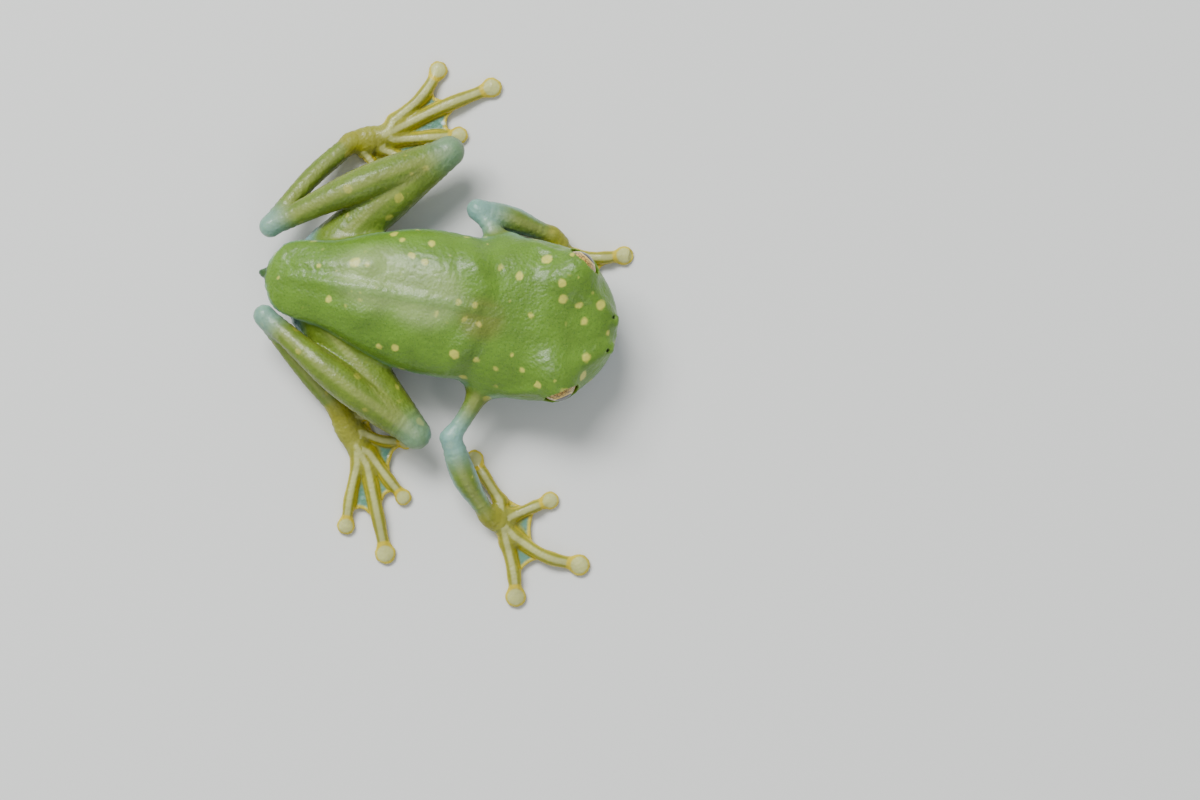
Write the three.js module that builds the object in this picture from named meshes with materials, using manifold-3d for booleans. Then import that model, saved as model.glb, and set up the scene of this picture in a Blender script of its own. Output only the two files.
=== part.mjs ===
// A glass frog at life size, spread flat as it clings to a smooth surface, with its left hand
// tucked under its throat. Millimetres, +Z up, the head toward -Y and the frog's own left at +X.
import * as THREE from 'three';
import { mergeVertices } from 'three/addons/utils/BufferGeometryUtils.js';
import Module from 'manifold-3d';

const wasm = await Module();
wasm.setup();

// Driving dimensions in mm. A place is [forward, left, up]: forward of the vent along the body's
// midline, to the frog's own left of that midline, and up from the ground it rests on.
const SNOUT_VENT_LENGTH = 25;
const GAP = 0.3;
const WEB_THICKNESS = 0.5;
const MERGE_DISTANCE = 1e-4;

// Trunk: each profile is a list of [forward, size].
const TRUNK = {
  rear: 0,
  front: 17.45,
  halfWidth: [[0, 1.7], [1.6, 2.6], [4.5, 3.1], [7.3, 4.15], [10, 4.95], [13.5, 5.1], [17.45, 5.35]],
  top: [[0, 4.5], [2, 5.2], [5, 6.2], [9, 7.1], [13, 7.4], [17.45, 7.0]],
  bottom: [[0, 3.1], [3, 3.2], [5, 2.7], [7, 1.8], [9, 1.35], [12, 1.2], [17.45, 1.5]],
  squareness: 2.3,
  rearRounding: 1.1,
  frontRounding: 0.5,
};

// Head: the plan outline is a blunt superellipse from its widest place to the snout.
const HEAD = {
  rear: TRUNK.front + GAP,
  front: SNOUT_VENT_LENGTH,
  widest: 18.25,
  halfWidth: 5.65,
  bluntness: 2.5,
  fullness: 1.8,
  top: [[17.45, 7.0], [19.5, 6.85], [22, 6.35], [24, 5.7], [25, 5.3]],
  bottom: [[17.45, 1.55], [20, 1.5], [23, 1.6], [24.4, 1.9], [25, 2.3]],
  squareness: 2.2,
  rearRounding: 0.5,
  frontRounding: 1.5,
};

// Eyes: the ball sits in a raised brow and looks forward and out.
const EYE = { forward: 21.35, side: 3.8, up: 5.4, radius: 1.45 };
const BROW = { forward: 20.95, side: 3.3, up: 5.05, radius: 1.9 };
const NOSTRIL = { forward: 24.3, side: 0.95, up: 5.15, radius: 0.18 };

// Limbs: the places of their joints and of the middle of each length.
const HIND_LEGS = {
  right: {
    hip: [3.3, -1.65, 2.4],
    thigh: [7.5, -5.2, 2.95],
    knee: [12.3, -9.25, 3.4],
    shank: [5.9, -6.15, 4.35],
    heel: [0.4, -2.95, 3.3],
    tarsus: [3.3, -5.8, 2.15],
    ankle: [6.4, -8.45, 1.0],
    sole: [8.2, -10.9, 0.55],
  },
  left: {
    hip: [3.4, 1.65, 2.4],
    thigh: [7.1, 6.3, 2.95],
    knee: [11.15, 10.65, 3.4],
    shank: [4.4, 6.5, 4.2],
    heel: [-0.3, 3.3, 3.3],
    tarsus: [1.75, 7.1, 2.15],
    ankle: [4.05, 10.2, 1.0],
    sole: [6.3, 11.1, 0.55],
  },
};
const ARMS = {
  right: {
    shoulder: [16.5, -4.5, 3.4],
    upperArm: [15.7, -7.0, 3.4],
    elbow: [14.75, -9.1, 3.3],
    forearm: [16.2, -11.7, 2.6],
    wrist: [18.2, -14.05, 1.25],
    palm: [19.3, -14.4, 0.5],
  },
  left: {
    shoulder: [16.3, 4.5, 3.4],
    upperArm: [15.0, 5.9, 3.2],
    elbow: [13.8, 7.0, 2.9],
    forearm: [16.5, 6.75, 2.2],
    wrist: [19.2, 6.2, 1.25],
    palm: [20.1, 5.1, 0.5],
  },
};

// Half widths of each length at its start, middle and end, and its height over its width.
const GIRTHS = {
  thigh: { sizes: [1.3, 1.7, 1.15], flatness: 0.88 },
  shank: { sizes: [1.0, 1.22, 0.75], flatness: 0.92 },
  tarsus: { sizes: [0.78, 0.74, 0.66], flatness: 0.9 },
  upperArm: { sizes: [0.95, 0.64, 0.68], flatness: 1 },
  forearm: { sizes: [0.74, 0.92, 0.62], flatness: 0.95 },
};

// Digits from base to the middle of the pad, [forward, left], with the shaft's half width, the
// pad's radius, and how far along the digit its webs to the one before and the next one reach.
const TOES = {
  right: [
    { path: [[7.5, -8.85], [8.65, -8.6], [9.2, -8.0], [9.3, -7.2]], half: 0.36, pad: 0.44, webs: [0, 0.35] },
    { path: [[8.3, -9.85], [9.85, -10.15], [11.55, -9.98]], half: 0.42, pad: 0.56, webs: [0.35, 0.9] },
    { path: [[9.15, -11.2], [10.6, -12.6], [12.05, -13.9]], half: 0.47, pad: 0.6, webs: [0.6, 0.85] },
    { path: [[9.15, -12.1], [10.5, -15.45], [11.5, -18.05]], half: 0.54, pad: 0.76, webs: [0.62, 0.72] },
    { path: [[8.45, -12.1], [8.35, -14.6], [8.4, -16.6]], half: 0.48, pad: 0.65, webs: [0.8, 0] },
  ],
  left: [
    { path: [[5.0, 9.75], [5.85, 8.95], [6.2, 7.85]], half: 0.4, pad: 0.47, webs: [0, 0.7] },
    { path: [[6.3, 10.15], [8.1, 9.7], [9.35, 9.2]], half: 0.42, pad: 0.6, webs: [0.8, 0.9] },
    { path: [[7.0, 10.95], [9.2, 11.5], [11.45, 12.1]], half: 0.5, pad: 0.65, webs: [0.72, 0.92] },
    { path: [[7.2, 11.85], [9.9, 13.8], [13.15, 15.85]], half: 0.56, pad: 0.74, webs: [0.68, 0.68] },
    { path: [[6.75, 12.3], [8.5, 14.5], [9.2, 16.4]], half: 0.52, pad: 0.68, webs: [0.78, 0] },
  ],
};
const FINGERS = {
  right: [
    { path: [[18.9, -12.95], [17.8, -11.75], [16.55, -10.35]], half: 0.5, pad: 0.68, webs: [0, 0.45] },
    { path: [[19.9, -13.85], [21.2, -13.0], [22.35, -12.3]], half: 0.48, pad: 0.66, webs: [0.4, 0.6] },
    { path: [[20.3, -15.25], [22.75, -16.25], [25.2, -16.45]], half: 0.54, pad: 0.78, webs: [0.3, 0.6] },
    { path: [[19.85, -15.75], [20.75, -17.9], [21.15, -19.45]], half: 0.55, pad: 0.76, webs: [0.7, 0] },
  ],
  left: [
    { path: [[18.75, 5.1], [16.7, 4.8], [14.85, 4.65]], half: 0.56, pad: 0.74, webs: [0, 0.6] },
    { path: [[19.5, 4.1], [19.25, 2.85], [19.25, 1.7]], half: 0.48, pad: 0.66, webs: [0.4, 0.7] },
    { path: [[20.9, 4.25], [22.4, 2.65], [23.75, 1.1]], half: 0.52, pad: 0.78, webs: [0.3, 0.6] },
    { path: [[21.1, 5.1], [22.95, 5.3], [24.5, 5.75]], half: 0.5, pad: 0.7, webs: [0.75, 0] },
  ],
};
const SHAFT_HEIGHT = 0.92;
const PAD_HEIGHT = 0.62;
const DIGIT_SINK = 0.38;
const WEB_DIP = 0.35;
const WEB_INSET = 0.4;
const DIGIT_ROOT = 0.55;

// The rounded start of a digit, as shares of the shaft's half width and height.
const DIGIT_START = { length: 0.5, width: 0.8, height: 0.8 };

// How far each cut reaches from its joint: all along a folded knee, less at the others.
const CUT_REACH = { knee: 14, joint: 6, digit: 6 };
const HAND_LUMP = { halfWidth: 0.95, height: 0.58 };
const FOOT_LUMP = { halfWidth: 0.95, height: 0.6 };

// Facets.
const TRUNK_FACETS = { around: 22, along: 12, dome: 3 };
const HEAD_FACETS = { around: 24, along: 5, dome: 5 };
const LIMB_FACETS = { around: 10, along: 6, dome: 3 };
const MOUND_FACETS = { around: 10, along: 2, dome: 3 };
const DIGIT_FACETS = { around: 8, shaft: 3, pad: 4 };
const EYE_FACETS = { around: 14, along: 9 };
const NOSTRIL_FACETS = { around: 8, along: 5 };
const WEB_STEPS = 4;

const COLORS = {
  trunk: 0x6f8a4a,
  head: 0x7f8f3f,
  arm: 0x8a8f3a,
  leg: 0x7d8430,
  digit: 0xb9b65a,
  web: 0x8fa08a,
  eye: 0xb98f2e,
};

const SKIN_ROUGHNESS = 0.45;
const EYE_ROUGHNESS = 0.1;

const UP = new THREE.Vector3(0, 0, 1);

// A place [forward, left, up] in the model's own axes.
function at([forward, left, up = 0]) {
  return new THREE.Vector3(left, -forward, up);
}

// A smooth size at a forward distance, through stations of [forward, size].
function sizeAt(stations, forward) {
  const last = stations.length - 1;
  const ahead = stations.findIndex(([place]) => place > forward);
  const i = THREE.MathUtils.clamp((ahead < 0 ? last : ahead) - 1, 0, last - 1);
  const slope = (j) => {
    const a = stations[Math.max(j - 1, 0)];
    const b = stations[Math.min(j + 1, last)];
    return (b[1] - a[1]) / (b[0] - a[0]);
  };
  const [x0, y0] = stations[i];
  const [x1, y1] = stations[i + 1];
  const span = x1 - x0;
  const t = THREE.MathUtils.clamp((forward - x0) / span, 0, 1);
  const rise = y1 - y0;
  const ease = t * t * (3 - 2 * t);
  return y0 + rise * ease + span * t * (1 - t) * (slope(i) * (1 - t) - slope(i + 1) * t);
}

// A solid for joining and cutting, from a closed geometry.
function solidOf(geometry) {
  const bare = geometry.clone();
  bare.deleteAttribute('normal');
  bare.deleteAttribute('uv');
  const merged = mergeVertices(bare, MERGE_DISTANCE);
  return new wasm.Manifold(new wasm.Mesh({
    numProp: 3,
    vertProperties: new Float32Array(merged.attributes.position.array),
    triVerts: new Uint32Array(merged.index.array),
  }));
}

// A closed skin whose rings are placed by a function of the ring's number and the angle around.
function loft(around, rings, place) {
  const skin = new THREE.SphereGeometry(1, around, rings);
  const { position, uv } = skin.attributes;
  for (let i = 0; i < position.count; i++) {
    const ring = Math.round((1 - uv.getY(i)) * rings);
    const isTip = ring === 0 || ring === rings;
    const angle = isTip ? 0 : -2 * Math.PI * uv.getX(i);
    const point = place(ring, angle);
    position.setXYZ(i, point.x, point.y, point.z);
  }
  return solidOf(skin);
}

// One side of a superellipse: 2 is round, more is squarer.
function squared(value, squareness) {
  return Math.sign(value) * Math.abs(value) ** (2 / squareness);
}

// Distances along a length and the share of full size there, with a round dome at each end.
function domedStations(length, startDome, endDome, facets) {
  const stations = [];
  for (let i = 0; i < facets.dome; i++) {
    const turn = (Math.PI / 2) * (i / facets.dome);
    stations.push({ distance: startDome * (1 - Math.cos(turn)), share: Math.sin(turn) });
  }
  const body = length - startDome - endDome;
  for (let i = 0; i <= facets.along; i++) {
    stations.push({ distance: startDome + body * (i / facets.along), share: 1 });
  }
  for (let i = facets.dome - 1; i >= 0; i--) {
    const turn = (Math.PI / 2) * (i / facets.dome);
    stations.push({ distance: length - endDome * (1 - Math.cos(turn)), share: Math.sin(turn) });
  }
  return stations;
}

// The trunk or the head: upright sections along the midline.
function midlineBody(shape, halfWidthAt, facets, grow) {
  const rear = shape.rear - grow;
  const length = shape.front + grow - rear;
  const stations = domedStations(length, shape.rearRounding, shape.frontRounding, facets);
  return loft(facets.around, stations.length - 1, (ring, angle) => {
    const { distance, share } = stations[ring];
    const forward = rear + distance;
    const top = sizeAt(shape.top, forward) + grow;
    const bottom = sizeAt(shape.bottom, forward) - grow;
    const middle = (top + bottom) / 2;
    const wide = halfWidthAt(forward, share) + grow * share;
    const high = ((top - bottom) / 2) * share;
    const side = wide * squared(Math.cos(angle), shape.squareness);
    const rise = high * squared(Math.sin(angle), shape.squareness);
    return at([forward, side, middle + rise]);
  });
}

function trunkSolid(grow = 0) {
  const halfWidthAt = (forward, share) => sizeAt(TRUNK.halfWidth, forward) * share;
  return midlineBody(TRUNK, halfWidthAt, TRUNK_FACETS, grow);
}

// Half the head's width: rounded in behind the jaws, and the plan outline ahead of them.
function headHalfWidth(forward, share) {
  if (forward < HEAD.widest) return HEAD.halfWidth * share;
  const reach = (forward - HEAD.widest) / (SNOUT_VENT_LENGTH - HEAD.widest);
  return HEAD.halfWidth * Math.max(1 - reach ** HEAD.bluntness, 0) ** (1 / HEAD.fullness);
}

// A ball at a place [forward, left, up].
function ball(place, radius, facets) {
  const geometry = new THREE.SphereGeometry(radius, facets.around, facets.along);
  geometry.rotateX(Math.PI / 2);
  const centre = at(place);
  geometry.translate(centre.x, centre.y, centre.z);
  return solidOf(geometry);
}

// The head with its brows, eye sockets and nostrils.
function headSolid() {
  let head = midlineBody(HEAD, headHalfWidth, HEAD_FACETS, 0);
  for (const side of [-1, 1]) {
    head = head.add(ball([BROW.forward, side * BROW.side, BROW.up], BROW.radius, EYE_FACETS));
  }
  for (const side of [-1, 1]) {
    const socket = ball([EYE.forward, side * EYE.side, EYE.up], EYE.radius + GAP, EYE_FACETS);
    const nostrilPlace = [NOSTRIL.forward, side * NOSTRIL.side, NOSTRIL.up];
    const nostril = ball(nostrilPlace, NOSTRIL.radius, NOSTRIL_FACETS);
    head = head.subtract(socket).subtract(nostril);
  }
  return head;
}

// The curve through a start, a middle and an end.
function axisThrough(places) {
  return new THREE.CatmullRomCurve3(places.map(at), false, 'centripetal');
}

// A size along a length, from its start, middle and end.
function blend([start, middle, end], t) {
  return sizeAt([[0, start], [0.5, middle], [1, end]], t);
}

// The frame across an axis: sideways, and up at right angles to both.
function across(axis, t) {
  const centre = axis.getPointAt(t);
  const tangent = axis.getTangentAt(t);
  const sideways = new THREE.Vector3().crossVectors(UP, tangent).normalize();
  const upward = new THREE.Vector3().crossVectors(tangent, sideways).normalize();
  return { centre, tangent, sideways, upward };
}

// One length of a limb, its ends domed past its two joints.
function limbSolid(places, girth, grow = 0) {
  const axis = axisThrough(places);
  const reach = axis.getLength();
  const [startSize, , endSize] = girth.sizes;
  const startDome = startSize + grow;
  const endDome = endSize + grow;
  const stations = domedStations(reach + startDome + endDome, startDome, endDome, LIMB_FACETS);
  return loft(LIMB_FACETS.around, stations.length - 1, (ring, angle) => {
    const { distance, share } = stations[ring];
    const past = distance - startDome;
    const t = THREE.MathUtils.clamp(past / reach, 0, 1);
    const { centre, tangent, sideways, upward } = across(axis, t);
    const wide = (blend(girth.sizes, t) + grow) * share;
    const high = (blend(girth.sizes, t) * girth.flatness + grow) * share;
    return centre
      .addScaledVector(tangent, past - t * reach)
      .addScaledVector(sideways, wide * Math.cos(angle))
      .addScaledVector(upward, high * Math.sin(angle));
  });
}

// A block that fills the far side of a joint's mitre plane, back to half a gap before it.
function farSide(joint, normal, reach) {
  const block = new THREE.BoxGeometry(2 * reach, 2 * reach, reach);
  const turn = new THREE.Quaternion().setFromUnitVectors(UP, normal);
  const centre = joint.clone().addScaledVector(normal, reach / 2 - GAP / 2);
  block.applyMatrix4(new THREE.Matrix4().compose(centre, turn, new THREE.Vector3(1, 1, 1)));
  return solidOf(block);
}

// Two lengths parted at the joint between them, each ending half a gap short of the mitre plane.
function partAtJoint(first, second, before, jointPlace, after, reach) {
  const joint = at(jointPlace);
  const incoming = joint.clone().sub(at(before)).normalize();
  const outgoing = at(after).sub(joint).normalize();
  const normal = incoming.add(outgoing).normalize();
  const back = normal.clone().negate();
  return [
    first.subtract(farSide(joint, normal, reach)),
    second.subtract(farSide(joint, back, reach)),
  ];
}

// The line of a digit along the ground.
function digitAxis(digit) {
  return axisThrough(digit.path.map(([forward, left]) => [forward, left, 0]));
}

// A digit on the ground: a rounded shaft with a flat underside that ends in a round pad.
function digitSolid(digit, grow = 0) {
  const axis = digitAxis(digit);
  const reach = axis.getLength();
  const half = digit.half + grow;
  const pad = digit.pad + grow;
  const neck = Math.asin(Math.min(half / pad, 1));
  const stations = [{ past: -half, wide: 0, high: 0 }];
  stations.push({
    past: -half * DIGIT_START.length,
    wide: half * DIGIT_START.width,
    high: DIGIT_START.height,
  });
  const shaftEnd = reach - pad * Math.cos(neck);
  for (let i = 0; i <= DIGIT_FACETS.shaft; i++) {
    stations.push({ past: shaftEnd * (i / DIGIT_FACETS.shaft), wide: half, high: 1 });
  }
  for (let i = 1; i <= DIGIT_FACETS.pad; i++) {
    const turn = neck + (Math.PI - neck) * (i / DIGIT_FACETS.pad);
    const isEnd = i === DIGIT_FACETS.pad;
    stations.push({ past: reach - pad * Math.cos(turn), wide: pad * Math.sin(turn), high: isEnd ? 0 : 1 });
  }
  return loft(DIGIT_FACETS.around, stations.length - 1, (ring, angle) => {
    const { past, wide, high } = stations[ring];
    const t = THREE.MathUtils.clamp(past / reach, 0, 1);
    const { centre, tangent, sideways } = across(axis, t);
    const nearPad = THREE.MathUtils.smoothstep(past, shaftEnd - pad, reach);
    const height = THREE.MathUtils.lerp(SHAFT_HEIGHT, PAD_HEIGHT, nearPad) + grow;
    const radius = height * (1 - DIGIT_SINK);
    const up = height - radius + high * radius * Math.sin(angle);
    return centre
      .addScaledVector(tangent, past - t * reach)
      .addScaledVector(sideways, wide * Math.cos(angle))
      .setZ(Math.max(up, -grow));
  });
}

// The free end of a digit, past the root that stays with its hand or foot.
function digitTip(digit, grow = 0) {
  const { centre, tangent } = across(digitAxis(digit), DIGIT_ROOT);
  const cut = centre.addScaledVector(tangent, -grow);
  return digitSolid(digit, grow).subtract(farSide(cut, tangent.clone().negate(), CUT_REACH.digit));
}

// Where a web meets a digit: a share of the way along it, on the side that faces another place.
function webEnd(digit, share, facing) {
  const { centre, sideways } = across(digitAxis(digit), share);
  const side = Math.sign(facing.clone().sub(centre).dot(sideways));
  return centre.addScaledVector(sideways, side * digit.half * WEB_INSET);
}

// The plate of palm or sole and webs: it runs along each outer digit and dips between the tips.
function webPlate(digits, heel) {
  const root = at(heel).setZ(0);
  const axes = digits.map(digitAxis);
  const middle = new THREE.Vector3();
  axes.forEach((axis) => middle.addScaledVector(axis.getPointAt(0), 1 / axes.length));
  const alongDigit = (axis, reach) => Array.from(
    { length: WEB_STEPS + 1 },
    (_, step) => axis.getPointAt((reach * step) / WEB_STEPS),
  );
  const first = digits[0];
  const last = digits[digits.length - 1];
  const border = [root, ...alongDigit(axes[0], first.webs[1])];
  for (let i = 0; i < digits.length - 1; i++) {
    const [digit, next] = [digits[i], digits[i + 1]];
    const from = webEnd(digit, digit.webs[1], axes[i + 1].getPointAt(next.webs[0]));
    const to = webEnd(next, next.webs[0], axes[i].getPointAt(digit.webs[1]));
    const dip = from.clone().add(to).multiplyScalar(1 / 2).lerp(middle, WEB_DIP);
    border.push(...new THREE.QuadraticBezierCurve3(from, dip, to).getPoints(WEB_STEPS));
  }
  border.push(...alongDigit(axes[axes.length - 1], last.webs[0]).reverse());
  const outline = new THREE.Shape(border.map(({ x, y }) => new THREE.Vector2(x, y)));
  return solidOf(new THREE.ExtrudeGeometry(outline, { depth: WEB_THICKNESS, bevelEnabled: false }));
}

// The low mound of a palm or a sole, flat underneath.
function moundSolid(from, to, size) {
  const axis = axisThrough([from, to]);
  const reach = axis.getLength();
  const dome = size.halfWidth;
  const stations = domedStations(reach + 2 * dome, dome, dome, MOUND_FACETS);
  return loft(MOUND_FACETS.around, stations.length - 1, (ring, angle) => {
    const { distance, share } = stations[ring];
    const past = distance - dome;
    const t = THREE.MathUtils.clamp(past / reach, 0, 1);
    const { centre, tangent, sideways } = across(axis, t);
    const up = centre.z + size.height * share * Math.sin(angle);
    return centre
      .addScaledVector(tangent, past - t * reach)
      .addScaledVector(sideways, size.halfWidth * share * Math.cos(angle))
      .setZ(Math.max(up, 0));
  });
}

// A solid cut clear of others.
function clearOf(solid, others) {
  return others.reduce((rest, other) => rest.subtract(other), solid);
}

// A hand or a foot: its mound, webs and the digits' roots, and each digit's free end.
function spreadDigits(mound, digits, root, digitName) {
  const plate = mound.add(webPlate(digits, root));
  const webbed = digits.reduce((whole, digit) => whole.add(digitSolid(digit)), plate);
  const parts = { base: clearOf(webbed, digits.map((digit) => digitTip(digit, GAP))) };
  digits.forEach((digit, i) => {
    parts[`${digitName}_${i + 1}`] = digitTip(digit);
  });
  return parts;
}

// The parts of one hind leg, by name.
function hindLeg(side, trunkRoom) {
  const leg = HIND_LEGS[side];
  let thigh = limbSolid([leg.hip, leg.thigh, leg.knee], GIRTHS.thigh);
  let shank = limbSolid([leg.knee, leg.shank, leg.heel], GIRTHS.shank);
  let tarsus = limbSolid([leg.heel, leg.tarsus, leg.ankle], GIRTHS.tarsus);
  const mound = moundSolid(leg.ankle, leg.sole, FOOT_LUMP);
  let { base: foot, ...toes } = spreadDigits(mound, TOES[side], leg.ankle, 'toe');
  [thigh, shank] = partAtJoint(thigh, shank, leg.thigh, leg.knee, leg.shank, CUT_REACH.knee);
  [shank, tarsus] = partAtJoint(shank, tarsus, leg.shank, leg.heel, leg.tarsus, CUT_REACH.joint);
  [tarsus, foot] = partAtJoint(tarsus, foot, leg.tarsus, leg.ankle, leg.sole, CUT_REACH.joint);
  thigh = clearOf(thigh, [trunkRoom]);
  return { thigh, shank, tarsus, foot, ...toes };
}

// The parts of one arm, by name.
function foreLimb(side, trunkRoom) {
  const arm = ARMS[side];
  let upperArm = limbSolid([arm.shoulder, arm.upperArm, arm.elbow], GIRTHS.upperArm);
  let forearm = limbSolid([arm.elbow, arm.forearm, arm.wrist], GIRTHS.forearm);
  const mound = moundSolid(arm.wrist, arm.palm, HAND_LUMP);
  let { base: hand, ...fingers } = spreadDigits(mound, FINGERS[side], arm.wrist, 'finger');
  [upperArm, forearm] = partAtJoint(upperArm, forearm, arm.upperArm, arm.elbow, arm.forearm, CUT_REACH.joint);
  [forearm, hand] = partAtJoint(forearm, hand, arm.forearm, arm.wrist, arm.palm, CUT_REACH.joint);
  upperArm = clearOf(upperArm, [trunkRoom]);
  return { upper_arm: upperArm, forearm, hand, ...fingers };
}

// A named mesh with its own finish, from a solid.
function meshOf(name, solid, color, roughness = SKIN_ROUGHNESS) {
  const { vertProperties, triVerts } = solid.getMesh();
  const geometry = new THREE.BufferGeometry();
  geometry.setAttribute('position', new THREE.BufferAttribute(new Float32Array(vertProperties), 3));
  geometry.setIndex(new THREE.BufferAttribute(new Uint32Array(triVerts), 1));
  geometry.computeVertexNormals();
  const material = new THREE.MeshStandardMaterial({ color, roughness, metalness: 0 });
  const mesh = new THREE.Mesh(geometry, material);
  mesh.name = name;
  return mesh;
}

function colorOf(part) {
  if (part.startsWith('toe') || part.startsWith('finger')) return COLORS.digit;
  if (part === 'foot' || part === 'hand') return COLORS.web;
  if (part === 'upper_arm' || part === 'forearm') return COLORS.arm;
  return COLORS.leg;
}

const frog = new THREE.Group();
const trunkRoom = trunkSolid(GAP);
frog.add(meshOf('trunk', trunkSolid(), COLORS.trunk));
frog.add(meshOf('head', headSolid(), COLORS.head));
for (const [side, sign] of [['right', -1], ['left', 1]]) {
  const eye = ball([EYE.forward, sign * EYE.side, EYE.up], EYE.radius, EYE_FACETS);
  frog.add(meshOf(`eye_${side}`, eye, COLORS.eye, EYE_ROUGHNESS));
  const limbs = { ...hindLeg(side, trunkRoom), ...foreLimb(side, trunkRoom) };
  for (const [part, solid] of Object.entries(limbs)) {
    frog.add(meshOf(`${part}_${side}`, solid, colorOf(part)));
  }
}

// The origin is on the ground, below the middle of the whole frog.
const whole = new THREE.Box3().setFromObject(frog);
const middle = whole.getCenter(new THREE.Vector3());
frog.position.set(-middle.x, -middle.y, -whole.min.z);

export default frog;
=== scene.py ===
"""Skin, eyes, floor, light and camera for a life-size glass frog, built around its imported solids."""

import logging
import math
from collections.abc import Sequence
from dataclasses import dataclass, field
from enum import Enum

import bpy
import numpy as np
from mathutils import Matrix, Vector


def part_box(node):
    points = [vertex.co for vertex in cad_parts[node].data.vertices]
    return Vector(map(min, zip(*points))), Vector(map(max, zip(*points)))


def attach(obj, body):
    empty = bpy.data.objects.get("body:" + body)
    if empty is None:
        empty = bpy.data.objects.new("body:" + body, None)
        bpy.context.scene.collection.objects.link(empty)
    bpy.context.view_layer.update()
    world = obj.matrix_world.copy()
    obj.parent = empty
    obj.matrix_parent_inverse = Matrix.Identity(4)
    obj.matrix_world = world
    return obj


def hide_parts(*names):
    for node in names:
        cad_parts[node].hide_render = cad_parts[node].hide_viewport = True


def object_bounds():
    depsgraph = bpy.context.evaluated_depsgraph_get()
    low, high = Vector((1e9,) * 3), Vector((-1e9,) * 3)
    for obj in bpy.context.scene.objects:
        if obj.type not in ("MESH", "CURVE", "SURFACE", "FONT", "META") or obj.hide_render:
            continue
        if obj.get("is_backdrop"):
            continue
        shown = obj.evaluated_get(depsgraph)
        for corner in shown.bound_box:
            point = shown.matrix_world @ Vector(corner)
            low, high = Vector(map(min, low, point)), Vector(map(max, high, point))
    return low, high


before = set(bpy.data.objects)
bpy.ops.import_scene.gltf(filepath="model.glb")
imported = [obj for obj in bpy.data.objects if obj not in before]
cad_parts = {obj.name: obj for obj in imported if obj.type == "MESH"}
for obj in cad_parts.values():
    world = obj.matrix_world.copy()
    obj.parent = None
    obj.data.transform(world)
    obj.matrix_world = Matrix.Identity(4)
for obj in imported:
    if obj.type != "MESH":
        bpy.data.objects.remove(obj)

import openvdb
from mathutils import Matrix, Vector, noise

log = logging.getLogger("glass_frog")

# Sizes are in millimetres where a name says nothing else. A place is given forward of the vent, to the
# frog's left and up, and frog space has x to the left, y backward and z up.
MM = 0.001
# The distance that stands for empty space, and the depth in voxels to which distances matter.
FAR = 4.0
BAND = 3.0
# Keeps a division away from nothing.
TINY = 1e-9
# The layer that holds each eyeball point's place round the gaze.
IRIS_PLACE = "iris_place"

Place = tuple[float, float, float]
GroundPlace = tuple[float, float]
# Where something starts to show, and where it shows fully.
Fade = tuple[float, float]
Window = tuple[slice, slice, slice]


class Side(Enum):
    """The frog's own sides, by the sign of a place to its left."""

    RIGHT = -1
    LEFT = 1

    @property
    def word(self) -> str:
        """The side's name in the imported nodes."""
        return self.name.lower()


class Mark(Enum):
    """The markings of the skin, by the names of the layers that hold them on its points."""

    FLANK = "flank"
    LIMB = "limb"
    UNDER_LIMB = "under_limb"
    BELLY = "belly"
    THROAT = "throat"
    JOINT_SHEEN = "joint_sheen"
    WEB = "web"
    DIGIT = "digit"
    DIGIT_EDGE = "digit_edge"
    BONE = "bone"
    DIGIT_BONE = "digit_bone"
    RIM = "rim"
    PAD = "pad"
    GRAINY = "grainy"
    GLINT_DOTS = "glint_dots"
    LIP = "lip"
    MOUTH = "mouth"
    NOSTRIL_SHADE = "nostril_shade"
    VENT = "vent"
    VISCERA = "viscera"
    HEART = "heart"
    GALL = "gall"
    CORD = "cord"
    VEIN = "vein"
    VISCERA_GLOW = "viscera_glow"
    HEART_GLOW = "heart_glow"
    SPINE_GLOW = "spine_glow"
    BEAD = "bead"
    BEAD_GLINT = "bead_glint"
    GRANULE_GAP_SHADE = "granule_gap_shade"


def linear(hex_colour: str) -> tuple[float, float, float, float]:
    """Turns an sRGB colour into the linear colour that a shader takes.

    Args:
        hex_colour: Six hexadecimal digits after a hash sign.

    Returns:
        Red, green, blue and a full alpha, linear.
    """
    parts = [int(hex_colour[i : i + 2], 16) / 255 for i in (1, 3, 5)]
    curve = [c / 12.92 if c <= 0.04045 else ((c + 0.055) / 1.055) ** 2.4 for c in parts]
    return (*curve, 1.0)


def ease(values: np.ndarray, start: float, end: float) -> np.ndarray:
    """Rises smoothly from 0 at start to 1 at end.

    Args:
        values: The numbers to map.
        start: Where the result is 0.
        end: Where the result is 1; it may be below start.

    Returns:
        An array of the same shape, from 0 to 1.
    """
    t = np.clip((values - start) / (end - start), 0.0, 1.0)
    return t * t * (3 - 2 * t)


def size_at(stations: Sequence[tuple[float, float]], along: np.ndarray) -> np.ndarray:
    """Reads a smooth size off a few stations.

    Args:
        stations: Pairs of a place along the length and the size there.
        along: The places to read.

    Returns:
        The sizes there, level past both ends.
    """
    places, sizes = np.array(stations, float).T
    slopes = np.gradient(sizes, places)
    i = np.clip(np.searchsorted(places, along, side="right") - 1, 0, len(places) - 2)
    span = places[i + 1] - places[i]
    t = np.clip((along - places[i]) / span, 0.0, 1.0)
    rise = (sizes[i + 1] - sizes[i]) * t * t * (3 - 2 * t)
    lean = span * t * (1 - t) * (slopes[i] * (1 - t) - slopes[i + 1] * t)
    return sizes[i] + rise + lean


def frog_space(places: Sequence[Place]) -> np.ndarray:
    """Turns places of forward, left and up into x to the left, y backward and z up.

    Args:
        places: Places in millimetres.

    Returns:
        An array of one row for each place.
    """
    forward, left, up = np.array(places, float).T
    return np.stack([left, -forward, up], axis=1)


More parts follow.
